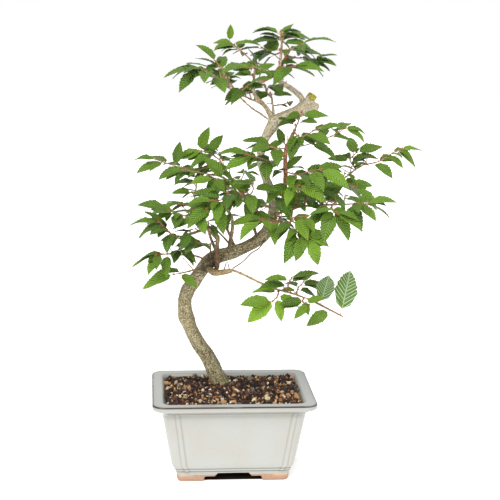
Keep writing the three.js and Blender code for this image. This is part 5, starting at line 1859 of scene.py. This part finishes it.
    def build(self) -> None:
        """Makes every spray and shoot, and reports leaf tips outside their solids."""
        for spray in self.grow():
            low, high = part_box(spray.plan.name)
            tips = [
                self.maker.at(leaf.points(np.ones(1), np.zeros(1), np.zeros(1))[0])
                for leaf in spray.leaves]
            inside = all(
                low[axis] - self.tip_play <= tip[axis] <= high[axis] + self.tip_play
                for tip in tips for axis in range(3))
            if not inside:
                log.warning("%s: a leaf tip lies outside its solid", spray.plan.name)
            self.build_spray(spray)
        for name, shoots in self.shoots.items():
            self.build_shoots(name, shoots)


@dataclass(frozen=True)
class Section:
    """One level of the pot's profile."""

    height: float
    half_x: float
    half_y: float
    corner: float
    # They darken the glaze as pooled glaze and thin edges, and as painted shade under the lip, in the
    # mouth and below.
    pooled_glaze_and_shade: float = 0.0
    thin: float = 0.0
    bare: float = 0.0


@dataclass
class Pot:
    """Glazed rectangular pot with upright beads, bracket feet and drain holes."""

    maker: Maker
    glaze: Material
    corner_steps: int = 7
    bead_span: float = 13.0
    bead_pitch: float = 0.55
    long_steps: int = 14
    short_steps: int = 8
    bead_half: float = 2.5
    bead_rise: float = 0.95
    bead_lean: float = 3.2
    bead_shift: float = 1.5
    groove_away: float = 3.3
    groove_half: float = 1.0
    groove_depth: float = 0.3
    foot_corner: float = 7.0
    wall_steps: int = 24
    inner_levels: int = 6
    waver: float = 0.25

    def sections(self) -> list[Section]:
        """Lists the profile from the middle of the underside round the lip to the floor's middle.

        Returns:
            Its levels.
        """
        base_x, base_y = BASE_HALF
        lip_x, lip_y = LIP_HALF
        top_x, top_y = WALL_TOP_HALF
        foot_x, foot_y = WALL_FOOT
        mouth = (lip_x - LIP_WIDTH, lip_y - LIP_WIDTH)
        rows = [
            # Painted shade: the underside is drawn as dark bare clay.
            Section(FOOT_HEIGHT, 0.0, 0.0, 0.0, thin=1.0, bare=1.0),
            Section(FOOT_HEIGHT, base_x * 0.5, base_y * 0.5, 4.0, thin=1.0, bare=1.0),
            Section(FOOT_HEIGHT, base_x - 1.3, base_y - 1.3, 6.5, thin=1.0, bare=1.0),
            *self.levels(FOOT_HEIGHT, BASE_HALF, (
                (0.3, -0.5, 6.8), (0.9, 0.1, 6.9), (1.8, 0.6, 7.0), (2.3, 0.5, 7.0, 0.6),
                (2.9, 0.5, 7.0, 1.0), (3.5, 0.9, 7.0, 0.8), (4.1, 1.5, 7.0),
                (5.8, 2.1, 7.0, 0.1), (6.4, 1.8, 7.0, 0.8), (7.0, 2.1, 7.0, 0.8))),
            Section(FOOT_HEIGHT + 7.6, base_x + 2.9, base_y + 2.7, 7.2, pooled_glaze_and_shade=0.2),
            Section(FOOT_HEIGHT + 8.8, base_x + 3.9, base_y + 3.6, 7.5),
            Section(WALL_BOTTOM, foot_x, foot_y, 8.0),
        ]
        # Painted shade: the top of the wall darkens under the lip.
        for step in range(1, self.wall_steps + 1):
            share = step / self.wall_steps
            rows.append(Section(
                WALL_BOTTOM + (WALL_TOP - WALL_BOTTOM) * share,
                foot_x + (top_x - foot_x) * share, foot_y + (top_y - foot_y) * share,
                8.0 + 2.0 * share, pooled_glaze_and_shade=0.35 * smooth(0.93, 1.0, share)))
        return [
            *rows,
            # Painted shade: the cove under the lip and the lip's underside are darkened.
            *self.levels(WALL_TOP, WALL_TOP_HALF, (
                (2.2, 1.4, 10.4, 0.35), (4.0, 3.2, 10.8, 0.3, 0.34), (5.4, 5.4, 11.6, 0.2, 0.25))),
            *self.levels(LIP_UNDER, LIP_HALF, (
                (-2.2, -5.8, 12.6, 0.15), (-1.0, -4.0, 13.4, 0.1), (-0.3, -1.6, 14.4),
                (0.6, -0.5, LIP_CORNER), (2.2, 0.0, LIP_CORNER, 0.1),
                (4.2, 0.0, LIP_CORNER, 0.3))),
            *self.levels(POT_HEIGHT, LIP_HALF, (
                (-2.0, -0.1, LIP_CORNER, 0.0, 0.1), (-1.4, -0.2, LIP_CORNER, 0.0, 0.9),
                (-0.7, -0.45, LIP_CORNER, 0.0, 1.0), (-0.15, -1.3, LIP_CORNER - 0.6, 0.0, 0.95),
                (0.0, -2.4, LIP_CORNER - 1.2, 0.0, 0.15), (0.0, -6.0, 13.0),
                (0.0, -10.0, 12.0))),
            # Painted shade: the inner edge of the mouth and the inner wall down to the soil are
            # darkened.
            *self.levels(POT_HEIGHT, mouth, (
                (-0.2, 1.4, 11.5), (-0.9, 0.3, 11.2, 0.0, 0.3), (-2.2, -0.6, 10.8, 0.0, 0.2))),
            Section(SOIL_EDGE, 86.0, 61.0, 10.0, pooled_glaze_and_shade=0.8),
            Section(WALL_TOP, top_x - WALL, top_y - WALL, 8.0, bare=1.0),
            Section(FLOOR_TOP + 1.5, foot_x - WALL, foot_y - WALL, 5.0, bare=1.0),
            Section(FLOOR_TOP, foot_x - WALL - 1.5, foot_y - WALL - 1.5, 4.0, bare=1.0),
            Section(FLOOR_TOP, 30.0, 20.0, 2.0, bare=1.0),
            Section(FLOOR_TOP, 0.0, 0.0, 0.0, bare=1.0),
        ]

    def levels(
        self, height: float, half: tuple[float, float], rows: Sequence[Sequence[float]],
    ) -> list[Section]:
        """Levels that are measured from one place of the profile.

        Args:
            height: That place's height.
            half: Its half sizes.
            rows: The rise, the distance out, the corner radius, and any pooled glaze and painted shade
                and thin edge.

        Returns:
            The levels.
        """
        return [
            Section(height + rise, half[0] + out, half[1] + out, corner, *glaze)
            for rise, out, corner, *glaze in rows]

    def spread(self, length: float, steps: int) -> list[float]:
        """Distances along one side between its corners, closer where the beads stand.

        Args:
            length: The side's flat length.
            steps: How many steps its middle has.

        Returns:
            Distances from one end to the other, without the end itself.
        """
        span = min(self.bead_span, length * 0.3)
        count = round(self.bead_span / self.bead_pitch)
        near = [span * step / count for step in range(count)]
        middle = [span + (length - 2 * span) * step / steps for step in range(steps + 1)]
        far = [length - span * step / count for step in range(count - 1, 0, -1)]
        return [*near, *middle, *far]

    def outline(self, section: Section) -> list[tuple[float, float, float, float, float]]:
        """One level's ring: x, y, the way out in x and y, and the distance to the corner's edge.

        Args:
            section: The level.

        Returns:
            Its points, counter-clockwise from above.
        """
        ring = []
        corner = section.corner
        sides = [(1, -1), (1, 1), (-1, 1), (-1, -1)]
        for quarter, (sign_x, sign_y) in enumerate(sides):
            middle_x = sign_x * (section.half_x - corner)
            middle_y = sign_y * (section.half_y - corner)
            for step in range(self.corner_steps):
                angle = (quarter - 1 + step / self.corner_steps) * math.pi / 2
                out = (math.cos(angle), math.sin(angle))
                ring.append((middle_x + corner * out[0], middle_y + corner * out[1], *out, 0.0))
            upright = quarter % 2 == 0
            length = 2 * ((section.half_y if upright else section.half_x) - corner)
            angle = quarter * math.pi / 2
            out = (round(math.cos(angle)), round(math.sin(angle)))
            for gone in self.spread(length, self.short_steps if upright else self.long_steps):
                edge = corner + min(gone, length - gone)
                x = middle_x + corner * out[0] - out[1] * gone
                y = middle_y + corner * out[1] + out[0] * gone
                ring.append((x, y, *out, edge))
        return ring

    def bead(self, edge: float, height: float, side: float) -> tuple[float, float]:
        """Relief of the upright bead and its grooves.

        Args:
            edge: Distance to the corner's edge.
            height: Height over the table.
            side: 1 right of the pot's middle, -1 left of it, 0 on its ends.

        Returns:
            How far the surface stands out, and how much pooled glaze and painted shade darken it.
        """
        level = smooth(FOOT_HEIGHT, FOOT_HEIGHT + 1.6, height)
        level *= smooth(LIP_UNDER - 0.5, WALL_TOP + 4.0, height)
        if edge <= 0 or level <= 0:
            return 0.0, 0.0
        share = (height - WALL_BOTTOM) / (WALL_TOP - WALL_BOTTOM)
        middle = BEAD_FROM_EDGE + self.bead_lean * (share - 0.25) - self.bead_shift * side
        away = abs(edge - middle)
        crown = self.bead_rise * math.sqrt(max(0.0, 1 - (away / (self.bead_half + 0.25)) ** 2))
        groove = math.exp(-((away - self.groove_away) / self.groove_half) ** 2)
        return level * (crown - self.groove_depth * groove), 0.24 * level * groove

    def shell(self) -> BMesh:
        """Makes the pot's body, one grid bent round the outline along the profile.

        Returns:
            Its mesh.
        """
        rows = self.sections()
        rings = [self.outline(section) for section in rows]
        count = len(rings[0])
        bm = tinted_mesh()
        layer = bm.verts.layers.float_color["tint"]
        for vert, column, row in add_grid(bm, count, len(rows) - 1):
            section = rows[row]
            x, y, out_x, out_y, edge = rings[row][column % count]
            outside = section.height < LIP_UNDER and row < len(rows) - self.inner_levels
            side = math.copysign(1.0, x) * abs(out_y)
            lift, pooled_glaze_and_shade = self.bead(edge, section.height, side) if outside else (0.0, 0.0)
            waver = self.waver * noise.noise(Vector((x, y, section.height)) * 0.03)
            if section.half_x < 1:
                waver = 0.0
            place = (x + out_x * (lift + waver), y + out_y * (lift + waver), section.height)
            vert.co = self.maker.at(place)
            vert[layer] = (min(section.pooled_glaze_and_shade + pooled_glaze_and_shade, 1.0), section.thin, section.bare, 1.0)
        bmesh.ops.remove_doubles(bm, verts=bm.verts, dist=SEAM)
        return bm

    def drill(self, pot: bpy.types.Object) -> None:
        """Cuts the two drain holes.

        Args:
            pot: The pot.
        """
        bm = bmesh.new()
        for x in (-DRAIN_X, DRAIN_X):
            matrix = Matrix.Translation(self.maker.at((x, 0.0, FOOT_HEIGHT)))
            bmesh.ops.create_cone(
                bm, cap_ends=True, segments=32, radius1=DRAIN_RADIUS * MM,
                radius2=DRAIN_RADIUS * MM, depth=30 * MM, matrix=matrix)
        drills = linked("drills", bm)
        cut = pot.modifiers.new("drains", "BOOLEAN")
        cut.object = drills
        cut.solver = "EXACT"
        graph = bpy.context.evaluated_depsgraph_get()
        drilled = bpy.data.meshes.new_from_object(pot.evaluated_get(graph))
        pot.modifiers.clear()
        pot.data = drilled
        bpy.data.objects.remove(drills)

    def foot_stations(self) -> list[tuple[Vector, Vector, float]]:
        """Finds stations along a foot's bent arm.

        Returns:
            The outer and the inner point of each, and the height there.
        """
        outer_x, outer_y = (half - FOOT_INSET for half in BASE_HALF)
        inner_x, inner_y = outer_x - FOOT_WIDTH, outer_y - FOOT_WIDTH
        step = FOOT_STEP_HEIGHT
        along = [
            (0.0, 0.0), (1.3, 1.4), (2.5, step - 0.8), (3.8, step), (9.0, step),
            (FOOT_STEP + 1.0, step), (FOOT_STEP + 3.0, step + 3.0), (FOOT_STEP + 4.7, FOOT_HEIGHT),
        ]
        stations = []
        for longer, rise in reversed(along):
            x = outer_x - FOOT_ARMS[0] - longer
            stations.append((Vector((x, outer_y, 0)), Vector((x, inner_y, 0)), rise))
        inner = Vector((inner_x, inner_y, 0))
        stations.append((Vector((inner_x, outer_y, 0)), inner, 0.0))
        middle = Vector((outer_x - self.foot_corner, outer_y - self.foot_corner, 0))
        for turn in range(self.corner_steps + 1):
            angle = (1 - turn / self.corner_steps) * math.pi / 2
            out = Vector((math.cos(angle), math.sin(angle), 0)) * self.foot_corner
            stations.append((middle + out, inner, 0.0))
        stations.append((Vector((outer_x, inner_y, 0)), inner, 0.0))
        for longer, rise in along:
            y = outer_y - FOOT_ARMS[1] - longer
            stations.append((Vector((outer_x, y, 0)), Vector((inner_x, y, 0)), rise))
        return stations

    def feet(self) -> BMesh:
        """Makes four L-shaped bracket feet, rounded below and stepped up at their arms' ends.

        Returns:
            Their mesh.
        """
        top = FOOT_HEIGHT + 0.8
        shoulder = 8.4
        profile = [
            (0.0, top), (0.0, 10.2), (0.0, 9.3), (0.1, shoulder), (0.4, 0.6), (1.1, 0.28),
            (2.2, 0.08), (3.6, 0.0), (FOOT_WIDTH - 1.5, 0.0), (FOOT_WIDTH - 0.4, 0.12),
            (FOOT_WIDTH, 0.35), (FOOT_WIDTH, top),
        ]
        stations = self.foot_stations()
        bm = tinted_mesh()
        layer = bm.verts.layers.float_color["tint"]
        for signs in ((-1, -1), (-1, 1), (1, -1), (1, 1)):
            for vert, column, row in add_grid(bm, len(profile), len(stations) + 1):
                outer, inner, rise = stations[min(max(row - 1, 0), len(stations) - 1)]
                inset, height = profile[column % len(profile)]
                if height <= 1.0:
                    height = rise + (shoulder - rise) * height
                height = min(max(height, rise), top)
                place = outer + (inner - outer) * (inset / FOOT_WIDTH)
                if row in (0, len(stations) + 1):
                    place = (outer + inner) / 2
                    height = top
                bare = smooth(10.0, 9.4, height)
                # A cream band along the feet's tops, just under the glaze, is a painted highlight line.
                cream = smooth(7.8, 9.2, height)
                vert[layer] = (cream * bare, 0.0, bare, 1.0)
                vert.co = self.maker.at((place.x * signs[0], place.y * signs[1], height))
        bmesh.ops.remove_doubles(bm, verts=bm.verts, dist=SEAM)
        bmesh.ops.recalc_face_normals(bm, faces=bm.faces)
        return bm

    def build(self) -> None:
        """Makes the body and the feet."""
        body = self.maker.piece("pot_body", self.shell(), [self.glaze], "glaze", ["pot"])
        self.drill(body)
        self.maker.piece("pot_feet", self.feet(), [self.glaze], "glaze")


@dataclass
class Screens:
    """Plastic nets over the drain holes."""

    maker: Maker
    plastic: Material
    cells: int = 8
    bar: float = 0.0011
    rim: float = 0.0014

    def build(self) -> None:
        """Makes one net over each hole, where its solid lies."""
        for node in ("drain_screen_left", "drain_screen_right"):
            low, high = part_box(node)
            bm = tinted_mesh()
            bmesh.ops.create_grid(
                bm, x_segments=self.cells, y_segments=self.cells, size=0.5, calc_uvs=False)
            middle = (low + high) / 2
            wide, deep, _ = high - low
            for vert in bm.verts:
                x, y = vert.co.x * (wide - self.rim), vert.co.y * (deep - self.rim)
                vert.co = middle + Vector((x, y, 0))
            bmesh.ops.wireframe(
                bm, faces=bm.faces, thickness=self.bar, offset=0.0, use_replace=True,
                use_boundary=True, use_even_offset=True)
            self.maker.piece(f"{node}_net", bm, [self.plastic], "screen_plastic", [node])


class GrainKind(Enum):
    """Colours of the soil's grains, with how often each is drawn."""

    BARK = (srgb(70, 48, 40), 26)
    BLACK = (srgb(38, 28, 26), 32)
    LAVA = (srgb(96, 64, 50), 9)
    RUST = (srgb(156, 98, 62), 4)
    TAN = (srgb(184, 143, 100), 14)
    CREAM = (srgb(220, 200, 160), 8)
    PUMICE = (srgb(194, 188, 176), 1)
    GREY = (srgb(116, 104, 92), 6)


@dataclass
class Soil:
    """Bed of crumbs with loose grains on it."""

    maker: Maker
    crumb: Material
    grains: int = 1900
    margin: float = 1.2
    steps_x: int = 110
    steps_y: int = 80
    depth: float = 14.0
    mouth_corner: float = 9.0
    crumb_colour: tuple[float, float, float] = (0.055, 0.03, 0.019)
    sizes: tuple[float, ...] = (1.1, 1.8, 2.6, 3.9)
    size_shares: tuple[int, ...] = (28, 40, 24, 8)

    def place(self, x: float, y: float) -> tuple[float, float]:
        """Turns a place of a square from -1 to 1 into the pot's rounded mouth.

        Args:
            x: Share across.
            y: Share along.

        Returns:
            The place in millimetres.
        """
        half_x = WALL_TOP_HALF[0] - WALL + SOIL_OUTSET - self.margin
        half_y = WALL_TOP_HALF[1] - WALL + SOIL_OUTSET - self.margin
        corner = self.mouth_corner
        over_x = max(abs(x) * half_x - half_x + corner, 0.0)
        over_y = max(abs(y) * half_y - half_y + corner, 0.0)
        if over_x > 0 and over_y > 0:
            share = max(over_x, over_y) / math.hypot(over_x, over_y)
            return (
                math.copysign(half_x - corner + over_x * share, x),
                math.copysign(half_y - corner + over_y * share, y))
        return x * half_x, y * half_y

    def height(self, x: float, y: float) -> float:
        """Height of the bed.

        Args:
            x: The share across.
            y: The share along.

        Returns:
            The height in millimetres.
        """
        reach = min(max(abs(x), abs(y)), 1.0)
        rough = noise.noise(Vector((x * 9, y * 7, 0.3)))
        return SOIL_EDGE + 0.2 + SOIL_MOUND * (1 - reach ** 2) + 0.7 * rough

    def bed(self) -> BMesh:
        """Makes the crumbly bed.

        Returns:
            Its mesh.
        """
        bm = tinted_mesh()
        layer = bm.verts.layers.float_color["tint"]
        bmesh.ops.create_grid(
            bm, x_segments=self.steps_x, y_segments=self.steps_y, size=1.0, calc_uvs=False)
        for vert in bm.verts:
            across, along = vert.co.x, vert.co.y
            x, y = self.place(across, along)
            crumbs = noise.noise(Vector((x, y, 7.0)) * 0.5)
            crumbs += 0.6 * noise.noise(Vector((x, y, 2.0)) * 1.1)
            rim = max(abs(across), abs(along)) > 0.999
            level = self.height(across, along) + 0.8 * crumbs
            vert.co = self.maker.at((x, y, SOIL_EDGE - 2.0 if rim else level))
            shade = 0.7 + 0.3 * crumbs
            vert[layer] = (*(part * shade for part in self.crumb_colour), 1.0)
        bmesh.ops.solidify(bm, geom=list(bm.faces), thickness=self.depth * MM)
        return bm

    def grain_colour(self, draw: random.Random, lightness: float) -> Colour:
        """The colour of one grain.

        Args:
            draw: The source of its variety.
            lightness: Above zero where pale grains gather, below it where dark ones do.

        Returns:
            The colour.
        """
        pale = (GrainKind.TAN, GrainKind.CREAM, GrainKind.RUST)
        weights = [
            kind.value[1] * (max(0.3, 1 + 1.6 * lightness) if kind in pale else 1.0)
            for kind in GrainKind]
        kind = draw.choices(list(GrainKind), weights=weights)[0]
        share = draw.uniform(0.75, 1.2)
        red, green, blue, _ = kind.value[0]
        return (min(red * share, 1), min(green * share, 1), min(blue * share, 1), 1.0)

    def scatter(self) -> BMesh:
        """Makes the loose grains, each turned and flattened in its own way.

        Returns:
            Their mesh.
        """
        bm = tinted_mesh()
        layer = bm.verts.layers.float_color["tint"]
        draw = random.Random(42)
        for _ in range(self.grains):
            across, along = draw.uniform(-0.985, 0.985), draw.uniform(-0.98, 0.98)
            size = draw.choices(self.sizes, weights=self.size_shares)[0] * draw.uniform(0.8, 1.2)
            x, y = self.place(across, along)
            lift = self.height(across, along) + size * draw.uniform(-0.1, 0.4)
            lift = min(lift, POT_HEIGHT + 2.6 - size * 0.6)
            matrix = Matrix.Translation(self.maker.at((x, y, lift)))
            turn = Euler([draw.uniform(0, 6.3) for _ in range(3)])
            matrix @= turn.to_matrix().to_4x4()
            matrix @= Matrix.Diagonal((
                draw.uniform(0.85, 1.6), draw.uniform(0.5, 1.0), draw.uniform(0.35, 0.75), 1.0))
            made = bmesh.ops.create_icosphere(
                bm, subdivisions=1, radius=size * MM, matrix=matrix, calc_uvs=False)
            tint = self.grain_colour(draw, noise.noise(Vector((x, y, 4.0)) * 0.035) - 0.006 * y)
            for vert in made["verts"]:
                vert[layer] = tint
        return bm

    def build(self) -> None:
        """Makes the bed and the grains."""
        self.maker.piece("soil_bed", self.bed(), [self.crumb], "soil_mix", ["soil"])
        self.maker.piece("soil_grains", self.scatter(), [self.crumb], "soil_mix", smooth_faces=False)


@dataclass
class Studio:
    """Pale floor, a painted shadow under the pot, soft lights and the camera."""

    maker: Maker
    camera_place: tuple[float, float, float] = (-106.1, -1470.4, 598.2)
    yaw: float = 4.913
    pitch: float = 11.8
    roll: float = 0.986
    lens: float = 86.4
    ambient: float = 0.76
    floor_glow: float = 0.3
    painted_shadow_half: tuple[float, float] = (64.0, 40.0)

    def floor(self) -> None:
        """Makes the floor."""
        bm = bmesh.new()
        bmesh.ops.create_grid(bm, x_segments=2, y_segments=2, size=6.0)
        graph = Graph("floor", 0.7, 0.2)
        cloud = graph.noise(3.0, 2.0)
        graph.colour(graph.blend(cloud, (0.93, 0.93, 0.93, 1), (0.95, 0.95, 0.95, 1)))
        graph.surface.inputs["Emission Color"].default_value = (1.0, 1.0, 1.0, 1.0)
        graph.surface.inputs["Emission Strength"].default_value = self.floor_glow
        linked("floor", bm, [graph.material])

    def painted_shadow_sheet(self) -> None:
        """Makes a dark sheet under the pot, a painted shadow seen between its feet."""
        bm = bmesh.new()
        bmesh.ops.create_grid(bm, x_segments=1, y_segments=1, size=1.0)
        for vert in bm.verts:
            place = (vert.co.x * self.painted_shadow_half[0], vert.co.y * self.painted_shadow_half[1], 0.3)
            vert.co = self.maker.at(place)
        graph = Graph("painted_shadow", 0.95, 0.1)
        graph.colour(graph.blend(graph.noise(400.0, 3.0), srgb(34, 26, 20), srgb(58, 46, 36)))
        linked("painted_shadow_sheet", bm, [graph.material])

    def sun(
        self, name: str, source: Sequence[float], strength: float, spread: float,
        colour: Sequence[float],
    ) -> None:
        """Adds an even soft light.

        Args:
            name: Its name.
            source: The direction that it comes from.
            strength: Its strength.
            spread: Its apparent size in degrees, which softens its shadows.
            colour: Its colour.
        """
        lamp = bpy.data.lights.new(name, "SUN")
        lamp.energy = strength
        lamp.angle = spread * DEGREE
        lamp.color = tuple(colour)
        made = bpy.data.objects.new(name, lamp)
        made.rotation_euler = Vector(source).to_track_quat("Z", "Y").to_euler()
        bpy.context.scene.collection.objects.link(made)

    def camera(self) -> None:
        """Makes the camera at the viewer's place."""
        yaw, pitch, roll = (angle * DEGREE for angle in (self.yaw, self.pitch, self.roll))
        ahead = Vector((
            math.sin(yaw) * math.cos(pitch), math.cos(yaw) * math.cos(pitch), -math.sin(pitch)))
        right = ahead.cross(Vector((0.0, 0.0, 1.0))).normalized()
        above = right.cross(ahead)
        leant = right * math.cos(roll) + above * math.sin(roll)
        upward = above * math.cos(roll) - right * math.sin(roll)
        data = bpy.data.cameras.new("camera")
        data.lens = self.lens
        data.sensor_width = 36.0
        data.clip_end = 50.0
        made = bpy.data.objects.new("camera", data)
        frame = Matrix((leant, upward, -ahead)).transposed().to_4x4()
        made.matrix_world = Matrix.Translation(self.maker.at(self.camera_place)) @ frame
        bpy.context.scene.collection.objects.link(made)
        bpy.context.scene.camera = made

    def build(self) -> None:
        """Makes the whole studio."""
        scene = bpy.context.scene
        scene.view_settings.view_transform = "Standard"
        world = bpy.data.worlds.new("studio")
        world.use_nodes = True
        nodes = world.node_tree.nodes
        links = world.node_tree.links
        glow = nodes["Background"]
        glow.inputs["Strength"].default_value = self.ambient
        backdrop = nodes.new("ShaderNodeBackground")
        for ground in (glow, backdrop):
            ground.inputs["Color"].default_value = (1.0, 1.0, 1.0, 1.0)
        both = nodes.new("ShaderNodeMixShader")
        links.new(nodes.new("ShaderNodeLightPath").outputs["Is Camera Ray"], both.inputs[0])
        links.new(glow.outputs[0], both.inputs[1])
        links.new(backdrop.outputs[0], both.inputs[2])
        links.new(both.outputs[0], nodes["World Output"].inputs["Surface"])
        scene.world = world
        self.floor()
        self.painted_shadow_sheet()
        self.sun("key", (-0.44, -0.7, 0.85), 3.1, 48.0, (1.0, 0.985, 0.955))
        self.sun("fill", (0.8, -0.7, 0.5), 0.9, 60.0, (0.95, 0.98, 1.0))
        self.camera()


def main() -> None:
    """Builds the plant from the pot up, and then the studio."""
    logging.basicConfig(level=logging.INFO, format="%(message)s", stream=sys.stdout)
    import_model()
    maker = Maker()
    bark = BarkFinish().make()
    mossy = BarkFinish(
        "mossy bark", grey=srgb(128, 122, 40), pale=srgb(160, 154, 50), dark=srgb(98, 92, 32),
        sunlit=srgb(166, 156, 46), olive=srgb(126, 126, 36)).make()
    bud = BudFinish().make()
    upper = LeafFinish(
        "leaf upper", srgb(37, 71, 12), srgb(78, 126, 26), srgb(146, 192, 34),
        srgb(156, 186, 100), 0.62, 0.36).make()
    under = LeafFinish(
        "leaf under", srgb(66, 100, 44), srgb(92, 130, 62), srgb(126, 164, 64),
        srgb(198, 214, 178), 0.75, 0.55).make()
    Studio(maker).build()
    Pot(maker, GlazeFinish().make()).build()
    Screens(maker, ScreenFinish().make()).build()
    Soil(maker, GrainFinish().make()).build()
    Wood(maker, bark, mossy, bud).build()
    Foliage(maker, upper, under, bark, bud).build()


if __name__ == "__main__":
    main()
